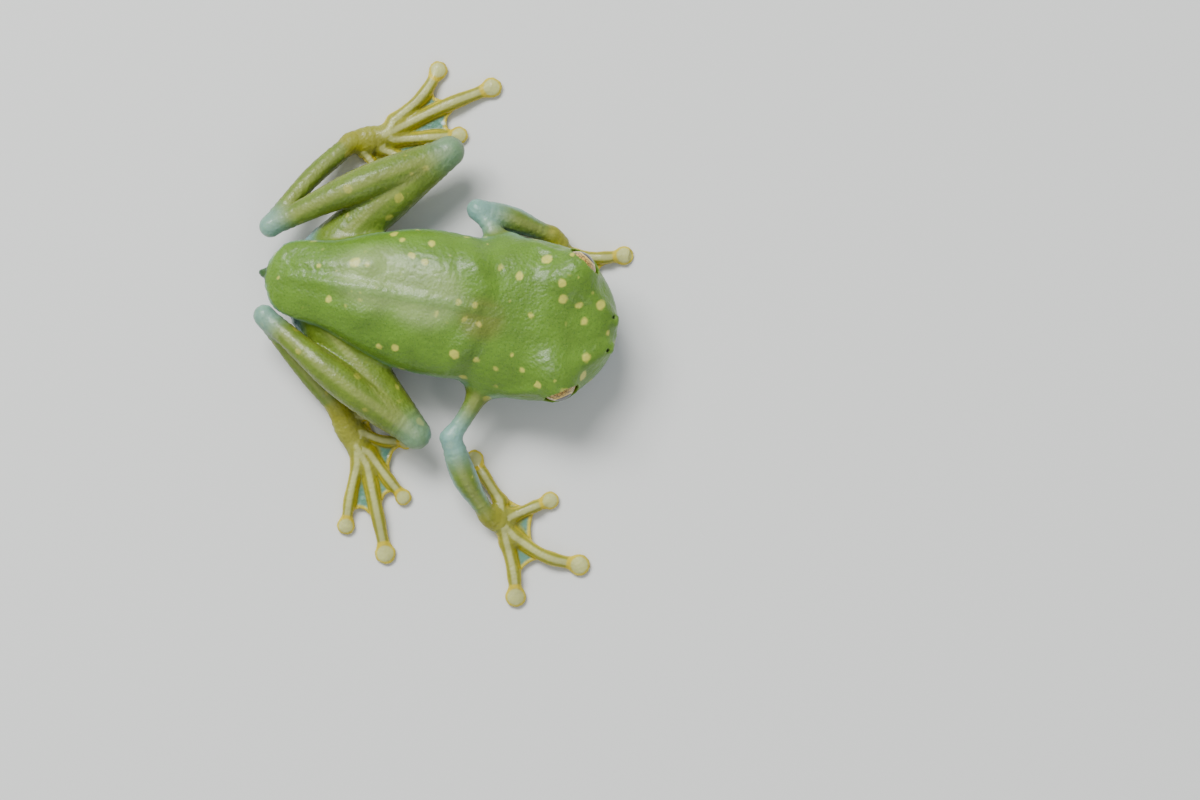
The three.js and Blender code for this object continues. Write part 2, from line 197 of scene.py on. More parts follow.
@dataclass(frozen=True)
class BodyAxes:
    """Where the frog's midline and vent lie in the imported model, in metres."""

    midline: float
    vent: float

    @classmethod
    def from_nodes(cls) -> "BodyAxes":
        """Reads the midline off the head's box and the vent off the trunk's."""
        head_low, head_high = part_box("head")
        return cls(midline=(head_low.x + head_high.x) / 2, vent=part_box("trunk")[1].y)

    def in_metres(self, points: np.ndarray) -> np.ndarray:
        """Moves points of the frog's own millimetres into the model's metres."""
        return points * MM + np.array([self.midline, self.vent, 0.0])


@dataclass
class Route:
    """A line through the flesh with a girth along it: a limb's length, a digit, a fold or a vein."""

    places: Sequence[Place]
    girths: Sequence[float]
    flatness: float = 1.0
    steps: int = 14
    points: np.ndarray = field(init=False)
    radii: np.ndarray = field(init=False)

    def __post_init__(self) -> None:
        """Spaces the points evenly along a smooth line through the places."""
        knots = frog_space(self.places)
        spans = np.linalg.norm(np.diff(knots, axis=0), axis=1)
        marks = np.concatenate([[0.0], np.cumsum(spans)]) / spans.sum()
        share = np.linspace(0.0, 1.0, self.steps + 1)
        lines = [size_at(list(zip(marks, knots[:, axis])), share) for axis in range(3)]
        self.points = np.stack(lines, axis=1)
        places = np.linspace(0.0, 1.0, len(self.girths))
        self.radii = size_at(list(zip(places, self.girths)), share)

    def at(self, share: float) -> np.ndarray:
        """The point at a share of the way along."""
        marks = np.linspace(0.0, 1.0, len(self.points))
        return np.array([np.interp(share, marks, self.points[:, i]) for i in range(3)])

    def flattened(self) -> "Route":
        """The same line laid on the ground, for what is measured from above or below."""
        return Route([(-y, x, 0.0) for x, y, _ in self.points], self.girths, 1.0, self.steps)

    def nearest(self, points: np.ndarray) -> tuple[np.ndarray, np.ndarray]:
        """Measures points against the line.

        Args:
            points: Rows of points in frog space.

        Returns:
            The distance of each from the line itself, and the share of the way along it.
        """
        best = np.full(len(points), np.inf)
        share = np.zeros(len(points))
        count = len(self.points) - 1
        for i in range(count):
            start, along = self.points[i], self.points[i + 1] - self.points[i]
            offset = points - start
            t = np.clip(offset @ along / (along @ along), 0.0, 1.0)
            distance = np.linalg.norm(offset - t[:, None] * along, axis=1)
            closer = distance < best
            best[closer] = distance[closer]
            share[closer] = (i + t[closer]) / count
        return best, share


class Flesh:
    """A block of distances to the skin, in millimetres and negative inside, that flesh is added to."""

    def __init__(self, low: np.ndarray, high: np.ndarray, voxel: float) -> None:
        """Starts an empty block.

        Args:
            low: The block's lowest corner in frog space.
            high: Its highest corner.
            voxel: The spacing of the measurements.
        """
        self.low = np.array(low, float)
        self.voxel = voxel
        self.shape = tuple(np.ceil((np.array(high) - self.low) / voxel).astype(int) + 1)
        self.distance = np.full(self.shape, FAR, np.float32)
        self.scratch = np.full(self.shape, FAR, np.float32)
        self.axes = [
            (self.low[i] + voxel * np.arange(self.shape[i])).astype(np.float32) for i in range(3)
        ]

    def window(self, low: np.ndarray, high: np.ndarray) -> Window:
        """Finds the part of the block between two corners.

        Args:
            low: The lowest corner in frog space.
            high: The highest corner.

        Returns:
            A slice of the block along each axis.
        """
        first = np.clip(np.floor((low - self.low) / self.voxel).astype(int), 0, self.shape)
        last = np.clip(np.ceil((high - self.low) / self.voxel).astype(int) + 1, 0, self.shape)
        return tuple(slice(a, b) for a, b in zip(first, last))

    def grid(self, window: Window) -> tuple[np.ndarray, ...]:
        """The x, y and z of a window, each ready to spread over the others."""
        x, y, z = (axis[part] for axis, part in zip(self.axes, window))
        return x[:, None, None], y[None, :, None], z[None, None, :]

    def join(self, window: Window, other: np.ndarray, blend: float) -> None:
        """Adds flesh, with a fillet where it meets what is there.

        Args:
            window: The part of the block to change.
            other: The distances to the new flesh.
            blend: About the size of the fillet.
        """
        here = self.distance[window]
        overlap = np.maximum(blend - np.abs(here - other), 0.0) / blend
        self.distance[window] = np.minimum(here, other) - overlap * overlap * blend / 4

    def carve(self, window: Window, other: np.ndarray, blend: float) -> None:
        """Takes flesh away, with the edge of the hollow eased.

        Args:
            window: The part of the block to change.
            other: The distances to what is taken away.
            blend: About the size of the eased edge.
        """
        here = self.distance[window]
        cut = -other
        overlap = np.maximum(blend - np.abs(here - cut), 0.0) / blend
        self.distance[window] = np.maximum(here, cut) + overlap * overlap * blend / 4

    def measure_route(self, route: Route, margin: float) -> Window:
        """Puts a route's distances into the scratch block.

        Args:
            route: The line and its girths.
            margin: How far outside the flesh to measure.

        Returns:
            The window of the scratch block that holds them.
        """
        reach = float(route.radii.max()) + margin
        whole = self.window(route.points.min(0) - reach, route.points.max(0) + reach)
        self.scratch[whole] = FAR
        for i in range(len(route.points) - 1):
            start, end = route.points[i], route.points[i + 1]
            near = max(route.radii[i], route.radii[i + 1]) + margin
            part = self.window(np.minimum(start, end) - near, np.maximum(start, end) + near)
            x, y, z = self.grid(part)
            dx, dy, dz = x - start[0], y - start[1], z - start[2]
            along = end - start
            share = (dx * along[0] + dy * along[1] + dz * along[2]) / float(along @ along)
            share = np.clip(share, 0.0, 1.0)
            flat = (dz - share * along[2]) / route.flatness
            gap = np.sqrt((dx - share * along[0]) ** 2 + (dy - share * along[1]) ** 2 + flat**2)
            girth = route.radii[i] + share * (route.radii[i + 1] - route.radii[i])
            self.scratch[part] = np.minimum(self.scratch[part], gap - girth)
        return whole

    def add_route(self, route: Route, blend: float) -> None:
        """Joins a route's flesh to the rest."""
        whole = self.measure_route(route, blend + BAND * self.voxel)
        self.join(whole, self.scratch[whole], blend)

    def ball(self, centre: np.ndarray, radii: np.ndarray, margin: float) -> tuple[Window, np.ndarray]:
        """Measures an upright ball with three radii.

        Args:
            centre: Its middle in frog space.
            radii: Its radii along x, y and z.
            margin: How far outside it to measure.

        Returns:
            The window, and the distances in it.
        """
        part = self.window(centre - radii - margin, centre + radii + margin)
        x, y, z = self.grid(part)
        steps = [(v - c) / r for v, c, r in zip((x, y, z), centre, radii)]
        scaled = np.sqrt(sum(s * s for s in steps))
        return part, (scaled - 1.0) * float(np.min(radii))

    def skin(self) -> tuple[np.ndarray, np.ndarray]:
        """Draws the skin through the block.

        Returns:
            The skin's points in frog space, and its faces of four corners.
        """
        block = openvdb.FloatGrid(FAR)
        band = np.clip(self.distance / self.voxel, -BAND, BAND).astype(np.float32)
        block.copyFromArray(band)
        points, quads = outer_shell(*block.convertToQuads(isovalue=0.0))
        return points * self.voxel + self.low, quads


def outer_shell(points: np.ndarray, quads: np.ndarray) -> tuple[np.ndarray, np.ndarray]:
    """Keeps the largest connected shell, and drops bubbles closed inside the flesh.

    Args:
        points: Rows of the surface's points.
        quads: Rows of four point numbers.

    Returns:
        The points and faces of that shell alone.
    """
    label = np.arange(len(points))
    settled = False
    while not settled:
        lowest = label.copy()
        np.minimum.at(lowest, quads.ravel(), np.repeat(label[quads].min(axis=1), 4))
        lowest = lowest[lowest]
        settled = bool((lowest == label).all())
        label = lowest
    kept = label == np.bincount(label).argmax()
    number = np.cumsum(kept) - 1
    log.info("shells: %d, kept the one of %d points", len(np.unique(label)), kept.sum())
    return points[kept], number[quads[kept[quads[:, 0]]]]


@dataclass
class Torso:
    """Trunk and head in one: upright sections along the midline."""

    half_width: Sequence[tuple[float, float]] = (
        (0.0, 1.7), (1.6, 2.55), (4.5, 3.05), (7.3, 4.1), (10.0, 4.9), (13.5, 5.05),
        (15.8, 4.9), (17.2, 5.4), (18.3, 5.62),
    )
    top: Sequence[tuple[float, float]] = (
        (0.0, 4.5), (2.0, 5.2), (5.0, 6.3), (7.0, 6.85), (9.0, 6.95), (13.0, 7.3),
        (16.5, 6.95), (18.5, 6.8), (20.0, 6.75), (22.0, 6.3), (24.0, 5.65), (25.0, 5.2),
    )
    bottom: Sequence[tuple[float, float]] = (
        (0.0, 3.1), (3.0, 3.1), (5.0, 2.6), (7.0, 1.8), (9.0, 1.4), (12.0, 1.25),
        (15.0, 1.35), (17.5, 1.5), (20.0, 1.5), (23.0, 1.6), (24.4, 1.95), (25.0, 2.35),
    )
    length: float = 25.0
    widest: float = 18.3
    bluntness: float = 2.5
    fullness: float = 1.8
    squareness: float = 2.25
    rear_rounding: float = 1.1
    snout_rounding: float = 1.5
    blend: float = 0.3
    mouth_height: float = 3.25
    mouth_sag: float = 0.35
    mouth_sag_span: Fade = (23.5, 19.0)
    mouth_rear: float = 18.7
    mouth_gape: float = 0.075
    mouth_depth: float = 0.3
    mouth_blend: float = 0.12
    jaw_inset: float = 0.13
    jaw_edge: Fade = (0.05, -0.25)
    jaw_span: Fade = (19.0, 20.5)
    # How far the measuring reaches: to each side, past both ends, and between which heights.
    room_side: float = 6.6
    room_end: float = 0.6
    room_up: tuple[float, float] = (0.3, 8.4)

    def sections(self, forward: np.ndarray) -> tuple[np.ndarray, np.ndarray, np.ndarray]:
        """Finds the upright sections.

        Args:
            forward: Places along the midline.

        Returns:
            The half width, middle height and half height at each place.
        """
        least, most = 1e-4, 0.9999
        ahead = np.clip((forward - self.widest) / (self.length - self.widest), 0.0, 1.0)
        plan = np.maximum(1 - ahead**self.bluntness, least) ** (1 / self.fullness)
        rear = np.clip(1 - forward / self.rear_rounding, 0.0, most)
        tail = np.sqrt(1 - rear * rear)
        snout = np.clip((forward - self.length) / self.snout_rounding + 1, 0.0, most)
        nose = np.sqrt(1 - snout * snout)
        wide = size_at(self.half_width, forward) * plan * tail
        high, low = size_at(self.top, forward), size_at(self.bottom, forward)
        return wide, (high + low) / 2, (high - low) / 2 * tail * nose

    def mouth_at(self, forward: np.ndarray) -> np.ndarray:
        """The height of the mouth's line, which sags toward the corner of the jaws."""
        return self.mouth_height - self.mouth_sag * ease(forward, *self.mouth_sag_span)

    def add_to(self, flesh: Flesh) -> None:
        """Adds the trunk and head, with the mouth's line pressed in.

        Args:
            flesh: The block to add to.
        """
        low = np.array([-self.room_side, -self.length - self.room_end, self.room_up[0]])
        part = flesh.window(low, np.array([self.room_side, self.room_end, self.room_up[1]]))
        x, y, z = flesh.grid(part)
        forward = -y[0, :, 0]
        wide, middle, high = (s[None, :, None] for s in self.sections(forward))
        lip = self.mouth_at(forward)[None, :, None]
        jaw = ease(z, lip + self.jaw_edge[0], lip + self.jaw_edge[1])
        jaw = jaw * ease(forward, *self.jaw_span)[None, :, None]
        wide = wide - self.jaw_inset * jaw
        n = self.squareness
        around = (np.abs(x) / wide) ** n + (np.abs(z - middle) / high) ** n
        # The shape is in shares of a section's size, so its own steepness turns it to millimetres.
        farthest, least_steepness = 6.0, 0.04
        scaled = np.minimum(around ** (1 / n), farthest) - 1.0
        steepness = np.sqrt(sum(g * g for g in np.gradient(scaled, flesh.voxel)))
        distance = scaled / np.maximum(steepness, least_steepness)
        past = np.maximum(forward - self.length, -forward)[None, :, None]
        distance = np.where(past > 0, np.maximum(distance, past), distance)
        slit = np.abs(z - lip) - self.mouth_gape
        slit = np.maximum(slit, (self.mouth_rear - forward)[None, :, None])
        slit = np.maximum(slit, -(distance + self.mouth_depth))
        flesh.join(part, distance, self.blend)
        flesh.carve(part, slit, self.mouth_blend)


@dataclass
class EyeSet:
    """One eye's place, size and opening, with the brow and lids round it."""

    side: Side
    forward: float = 21.35
    out: float = 3.8
    up: float = 5.4
    radius: float = 1.45
    gaze: Place = (0.52, 0.8, 0.24)
    lid: float = 0.2
    lid_blend: float = 0.45
    lid_margin: float = 1.0
    opening_long: float = 1.24
    opening_high: float = 1.04
    opening_blend: float = 0.1
    # The rolled edge lies at this share of the lid's thickness, and so far outside the opening.
    rim_on_lid: float = 0.6
    rim_outset: float = 0.12
    rim_half: float = 0.13
    rim_blend: float = 0.12
    clearance: float = 0.02
    # From the ball's middle to the brow's: outward, backward and up.
    brow_offset: Place = (-0.7, 0.4, -0.4)
    brow_radii: Place = (1.9, 2.05, 2.05)
    brow_blend: float = 0.8
    brow_margin: float = 1.2

    def rim_lift(self, along: np.ndarray, rise: np.ndarray) -> np.ndarray:
        """How far along the gaze the lids' rolled edge lies, on the ball's own curve."""
        shell, least = self.radius + self.lid * self.rim_on_lid, 0.05
        return np.sqrt(np.maximum(shell**2 - along**2 - rise**2, least))

    def centre(self) -> np.ndarray:
        """The ball's middle in frog space."""
        return np.array([self.side.value * self.out, -self.forward, self.up])

    def axes(self) -> np.ndarray:
        """Finds the directions that the eye is built on.

        Returns:
            Rows of unit vectors: forward along the opening, up along it, and the gaze.
        """
        forward, out, up = self.gaze
        gaze = np.array([self.side.value * out, -forward, up])
        gaze /= np.linalg.norm(gaze)
        along = np.cross(gaze, [0.0, 0.0, 1.0]) * self.side.value
        along /= np.linalg.norm(along)
        rise = np.cross(gaze, along)
        return np.stack([along, rise * np.sign(rise[2]), gaze])

    def add_to(self, flesh: Flesh) -> None:
        """Adds the brow and lids, and opens them over the ball.

        Args:
            flesh: The block to add to.
        """
        centre = self.centre()
        outward, backward, upward = self.brow_offset
        brow = centre + np.array([outward * self.side.value, backward, upward])
        part, mound = flesh.ball(brow, np.array(self.brow_radii), self.brow_margin)
        flesh.join(part, mound, self.brow_blend)
        shell = np.full(3, self.radius + self.lid)
        part, lids = flesh.ball(centre, shell, self.lid_margin)
        flesh.join(part, lids, self.lid_blend)
        x, y, z = flesh.grid(part)
        offset = (x - centre[0], y - centre[1], z - centre[2])
        along, rise, gaze = (sum(o * a for o, a in zip(offset, axis)) for axis in self.axes())
        ball = np.sqrt(along**2 + rise**2 + gaze**2) - (self.radius + self.clearance)
        almond = np.hypot(along / self.opening_long, rise / self.opening_high) - 1.0
        beside = almond * self.opening_high - self.rim_outset
        rolled = np.hypot(beside, gaze - self.rim_lift(along, rise))
        flesh.join(part, rolled - self.rim_half, self.rim_blend)
        flesh.carve(part, np.maximum(almond * self.opening_high, -gaze), self.opening_blend)
        flesh.carve(part, ball, self.clearance)


@dataclass
class Digit:
    """A finger or toe: its line on the ground, girth, pad and how far its webs reach."""

    path: Sequence[GroundPlace]
    half: float
    pad: float
    # The shares of the shaft's length that the webs on its two sides reach.
    webs: tuple[float, float]
    height: float = 0.92
    tip_height: float = 0.2
    arch: float = 0.16
    flatness_limit: float = 1.1
    # Shares of half the width, from the palm to the pad.
    knuckles: tuple[float, ...] = (1.0, 0.88, 0.84, 0.96, 0.82, 0.84)
    steps: int = 12
    blend: float = 0.3
    # The pad's middle and its upright radius are shares of its height.
    pad_height: float = 0.56
    pad_lift: float = 0.4
    pad_bulk: float = 0.62
    pad_blend: float = 0.22
    pad_margin: float = 0.6

    def route(self) -> Route:
        """Draws the shaft's line, arched a little between palm and pad.

        Returns:
            The line with its girths, thicker at the knuckles.
        """
        flat = self.height / (2 * self.half)
        middle = self.height / 2
        count = len(self.path) - 1
        lift = [self.arch * math.sin(math.pi * i / count) for i in range(count + 1)]
        drop = [(middle - self.tip_height) * (i / count) ** 4 for i in range(count + 1)]
        heights = [middle + a - d for a, d in zip(lift, drop)]
        places = [(*ground, height) for ground, height in zip(self.path, heights)]
        girths = [self.half * share for share in self.knuckles]
        return Route(places, girths, min(flat, self.flatness_limit), self.steps)

    def pad_centre(self) -> np.ndarray:
        """The middle of the pad on the ground, in frog space."""
        forward, left = self.path[-1]
        return np.array([left, -forward, 0.0])

    def add_to(self, flesh: Flesh) -> None:
        """Adds the shaft and its rounded pad, flat on the ground.

        Args:
            flesh: The block to add to.
        """
        flesh.add_route(self.route(), self.blend)
        centre = self.pad_centre() + np.array([0.0, 0.0, self.pad_height * self.pad_lift])
        radii = np.array([self.pad, self.pad, self.pad_height * self.pad_bulk])
        part, disc = flesh.ball(centre, radii, self.pad_margin)
        flesh.join(part, disc, self.pad_blend)


@dataclass
class WebbedBase:
    """A hand or foot: its mound, its digits and the webs between them."""

    root: Place
    palm: Place
    digits: list[Digit]
    half_width: float
    # The mound's girths are shares of the half width, and a bone's start is a share of its digit's.
    mound_shares: Place = (0.72, 1.0, 0.8)
    mound_flatness: float = 0.62
    mound_blend: float = 0.4
    bone_share: float = 0.9
    bone_blend: float = 0.45
    web_thickness: float = 0.25
    web_height: float = 0.34
    web_dip: float = 0.35
    web_blend: float = 0.2
    web_margin: float = 0.8
    web_room_up: float = 1.0
    rim: float = 0.13
    rim_slimness: float = 0.9
    rim_blend: float = 0.15
    edge_steps: int = 8
    side_steps: int = 6

    def web_edge(self, first: Digit, second: Digit) -> np.ndarray:
        """Draws the free edge of the web between two digits, dipping toward the palm.

        Args:
            first: The digit where the edge starts.
            second: The digit where it ends.

        Returns:
            Rows of points in frog space.
        """
        start = first.route().at(first.webs[1])
        end = second.route().at(second.webs[0])
        middle = np.mean([d.route().points[0] for d in self.digits], axis=0)
        dip = (start + end) / 2 * (1 - self.web_dip) + middle * self.web_dip
        t = np.linspace(0.0, 1.0, self.edge_steps + 1)[:, None]
        return start * (1 - t) ** 2 + dip * 2 * t * (1 - t) + end * t * t

    def web_outline(self, first: Digit, second: Digit) -> np.ndarray:
        """Draws the whole border of one web, out along a digit, over its edge and back.

        Args:
            first: The digit on one side of the web.
            second: The digit on its other side.

        Returns:
            Rows of x and y.
        """
        steps = np.linspace(0.0, 1.0, self.side_steps + 1)
        out = [first.route().at(first.webs[1] * s) for s in steps]
        back = [second.route().at(second.webs[0] * s) for s in steps[::-1]]
        root = frog_space([self.palm])
        return np.vstack([root, out, self.web_edge(first, second)[1:-1], back])[:, :2]

    def add_web(self, flesh: Flesh, first: Digit, second: Digit) -> None:
        """Adds one web as a thin sheet.

        Args:
            flesh: The block to add to.
            first: The digit on one side of the web.
            second: The digit on its other side.
        """
        border = self.web_outline(first, second)
        low = np.array([*(border.min(0) - self.web_margin), 0.0])
        high = np.array([*(border.max(0) + self.web_margin), self.web_room_up])
        part = flesh.window(low, high)
        x, y, z = flesh.grid(part)
        plan = outline_distance(border, x[:, :, 0], y[:, :, 0])[:, :, None]
        across = np.abs(z - self.web_height) - self.web_thickness / 2
        outside = np.hypot(np.maximum(plan, 0.0), np.maximum(across, 0.0))
        sheet = outside + np.minimum(np.maximum(plan, across), 0.0)
        flesh.join(part, sheet, self.web_blend)

    def palm_routes(self) -> list[Route]:
        """Draws the long bones of the palm or sole.

        Returns:
            A line for each digit, from the middle of the palm to its knuckle.
        """
        return [
            Route(
                (self.palm, (*digit.path[0], digit.height / 2)),
                (digit.half * self.bone_share, digit.half), steps=5,
            )
            for digit in self.digits
        ]

    def mound(self) -> Route:
        """The soft middle of the palm or sole."""
        girths = [self.half_width * share for share in self.mound_shares]
        return Route((self.root, self.palm), girths, self.mound_flatness, 6)

    def edges(self) -> list[Route]:
        """Draws the free edges of the webs.

        Returns:
            A thin cord for each web.
        """
        girths = (self.rim, self.rim * self.rim_slimness, self.rim)
        return [
            Route(
                [(-p[1], p[0], self.web_height) for p in self.web_edge(first, second)[1:-1]],
                girths, steps=8,
            )
            for first, second in zip(self.digits, self.digits[1:])
        ]

    def add_to(self, flesh: Flesh) -> None:
        """Adds the mound, the digits and the webs, each web with a slightly thicker free edge.

        Args:
            flesh: The block to add to.
        """
        flesh.add_route(self.mound(), self.mound_blend)
        for bone in self.palm_routes():
            flesh.add_route(bone, self.bone_blend)
        for digit in self.digits:
            digit.add_to(flesh)
        for first, second in zip(self.digits, self.digits[1:]):
            self.add_web(flesh, first, second)
        for edge in self.edges():
            flesh.add_route(edge, self.rim_blend)


def outline_distance(border: np.ndarray, x: np.ndarray, y: np.ndarray) -> np.ndarray:
    """Measures places against a closed outline, negative inside it.

    Args:
        border: Rows of the outline's corners.
        x: The places' x, which spreads against y.
        y: The places' y.

    Returns:
        The signed distance of each place.
    """
    shape = np.broadcast(x, y).shape
    nearest = np.full(shape, np.inf)
    inside = np.zeros(shape, bool)
    for start, end in zip(border, np.roll(border, -1, axis=0)):
        along = end - start
        dx, dy = x - start[0], y - start[1]
        t = np.clip((dx * along[0] + dy * along[1]) / max(float(along @ along), TINY), 0, 1)
        nearest = np.minimum(nearest, np.hypot(dx - t * along[0], dy - t * along[1]))
        crosses = (start[1] > y) != (end[1] > y)
        rise = along[1] if abs(along[1]) > TINY else TINY
        inside ^= crosses & (x < along[0] * (y - start[1]) / rise + start[0])
    return np.where(inside, -nearest, nearest)


@dataclass
class HindLeg:
    """One hind leg, folded in a Z, with its webbed foot."""

    side: Side
    hip: Place
    thigh: Place
    knee: Place
    shank: Place
    heel: Place
    tarsus: Place
    ankle: Place
    sole: Place
    toes: list[Digit]
    thigh_girths: tuple[float, ...] = (1.3, 1.62, 1.68, 1.4, 1.08)
    shank_girths: tuple[float, ...] = (0.98, 1.2, 1.18, 0.88, 0.7)
    tarsus_girths: tuple[float, ...] = (0.74, 0.68, 0.72, 0.68)
    flatness: Place = (0.9, 0.93, 0.9)
    thigh_blend: float = 0.7
    fold_blend: float = 0.25
    # The groin's skin starts so far ahead of the hip, at this share of the hip's distance from the midline
    # and so far above the hip, and it ends at this share of the way to the middle of the thigh.
    groin_start: Place = (0.3, 0.45, 0.5)
    groin_end: float = 0.45
    groin_girths: tuple[float, ...] = (1.2, 1.5, 1.35)
    groin_flatness: float = 0.85
    groin_blend: float = 0.9
    sole_half_width: float = 0.95

    def routes(self) -> dict[str, Route]:
        """Draws the leg's lengths, with a swell of muscle in thigh and calf.

        Returns:
            The lines by name.
        """
        thigh, shank, tarsus = self.flatness
        return {
            "thigh": Route((self.hip, self.thigh, self.knee), self.thigh_girths, thigh),
            "shank": Route((self.knee, self.shank, self.heel), self.shank_girths, shank),
            "tarsus": Route((self.heel, self.tarsus, self.ankle), self.tarsus_girths, tarsus),
        }

    def groin(self) -> Route:
        """Draws the skin that runs from the belly onto the thigh, and hides where the thigh begins.

        Returns:
            A short line through the hip.
        """
        forward, left, up = self.hip
        ahead, inward, above = self.groin_start
        start = (forward + ahead, left * inward, up + above)
        share = self.groin_end
        end = tuple((1 - share) * a + share * b for a, b in zip(self.hip, self.thigh))
        return Route((start, self.hip, end), self.groin_girths, self.groin_flatness, 8)

    def foot(self) -> WebbedBase:
        """The foot at the end of the leg."""
        return WebbedBase(self.ankle, self.sole, self.toes, self.sole_half_width)

    def add_to(self, flesh: Flesh) -> None:
        """Adds the leg, its folds kept as creases.

        Args:
            flesh: The block to add to.
        """
        routes = self.routes()
        flesh.add_route(self.groin(), self.groin_blend)
        flesh.add_route(routes["thigh"], self.thigh_blend)
        flesh.add_route(routes["shank"], self.fold_blend)
        flesh.add_route(routes["tarsus"], self.fold_blend)
        self.foot().add_to(flesh)


@dataclass
class Arm:
    """One arm with its webbed hand."""

    shoulder: Place
    upper_arm: Place
    elbow: Place
    forearm: Place
    wrist: Place
    palm: Place
    fingers: list[Digit]
    upper_girths: tuple[float, ...] = (1.5, 0.78, 0.6, 0.68)
    forearm_girths: tuple[float, ...] = (0.7, 0.88, 0.9, 0.7, 0.58)
    forearm_flatness: float = 0.95
    shoulder_blend: float = 1.2
    elbow_blend: float = 0.3
    palm_half_width: float = 0.9

    def routes(self) -> dict[str, Route]:
        """Draws the arm's lengths, slim above the elbow and fuller below it.

        Returns:
            The lines by name.
        """
        lower = (self.elbow, self.forearm, self.wrist)
        return {
            "upper_arm": Route((self.shoulder, self.upper_arm, self.elbow), self.upper_girths),
            "forearm": Route(lower, self.forearm_girths, self.forearm_flatness),
        }

    def hand(self) -> WebbedBase:
        """The hand at the end of the arm."""
        return WebbedBase(self.wrist, self.palm, self.fingers, self.palm_half_width)

    def add_to(self, flesh: Flesh) -> None:
        """Adds the arm, spread wide where it grows from the shoulder.

        Args:
            flesh: The block to add to.
        """
        routes = self.routes()
        flesh.add_route(routes["upper_arm"], self.shoulder_blend)
        flesh.add_route(routes["forearm"], self.elbow_blend)
        self.hand().add_to(flesh)


@dataclass(frozen=True)
class Ridge:
    """A soft ridge under the skin, its places given for the left side of the body."""

    places: Sequence[Place]
    girths: Sequence[float]
    blend: float
    flatness: float = 1.0
    steps: int = 8

    def add_to(self, flesh: Flesh, side: Side) -> None:
        """Joins the ridge to the flesh on one side."""
        places = [(forward, side.value * left, up) for forward, left, up in self.places]
        flesh.add_route(Route(places, self.girths, self.flatness, self.steps), self.blend)


@dataclass(frozen=True)
class Swelling:
    """A small ball of flesh or a hollow of that shape, its middle given for the left side."""

    centre: Place
    radii: Place
    blend: float
    margin: float

    def centre_on(self, side: Side) -> np.ndarray:
        """The middle on one side of the body, in frog space."""
        forward, left, up = self.centre
        return np.array([side.value * left, -forward, up])

    def add_to(self, flesh: Flesh, side: Side) -> None:
        """Joins the ball to the flesh on one side."""
        part, ball = flesh.ball(self.centre_on(side), np.array(self.radii), self.margin)
        flesh.join(part, ball, self.blend)

    def carve_from(self, flesh: Flesh, side: Side) -> None:
        """Takes the ball out of the flesh on one side."""
        part, ball = flesh.ball(self.centre_on(side), np.array(self.radii), self.margin)
        flesh.carve(part, ball, self.blend)


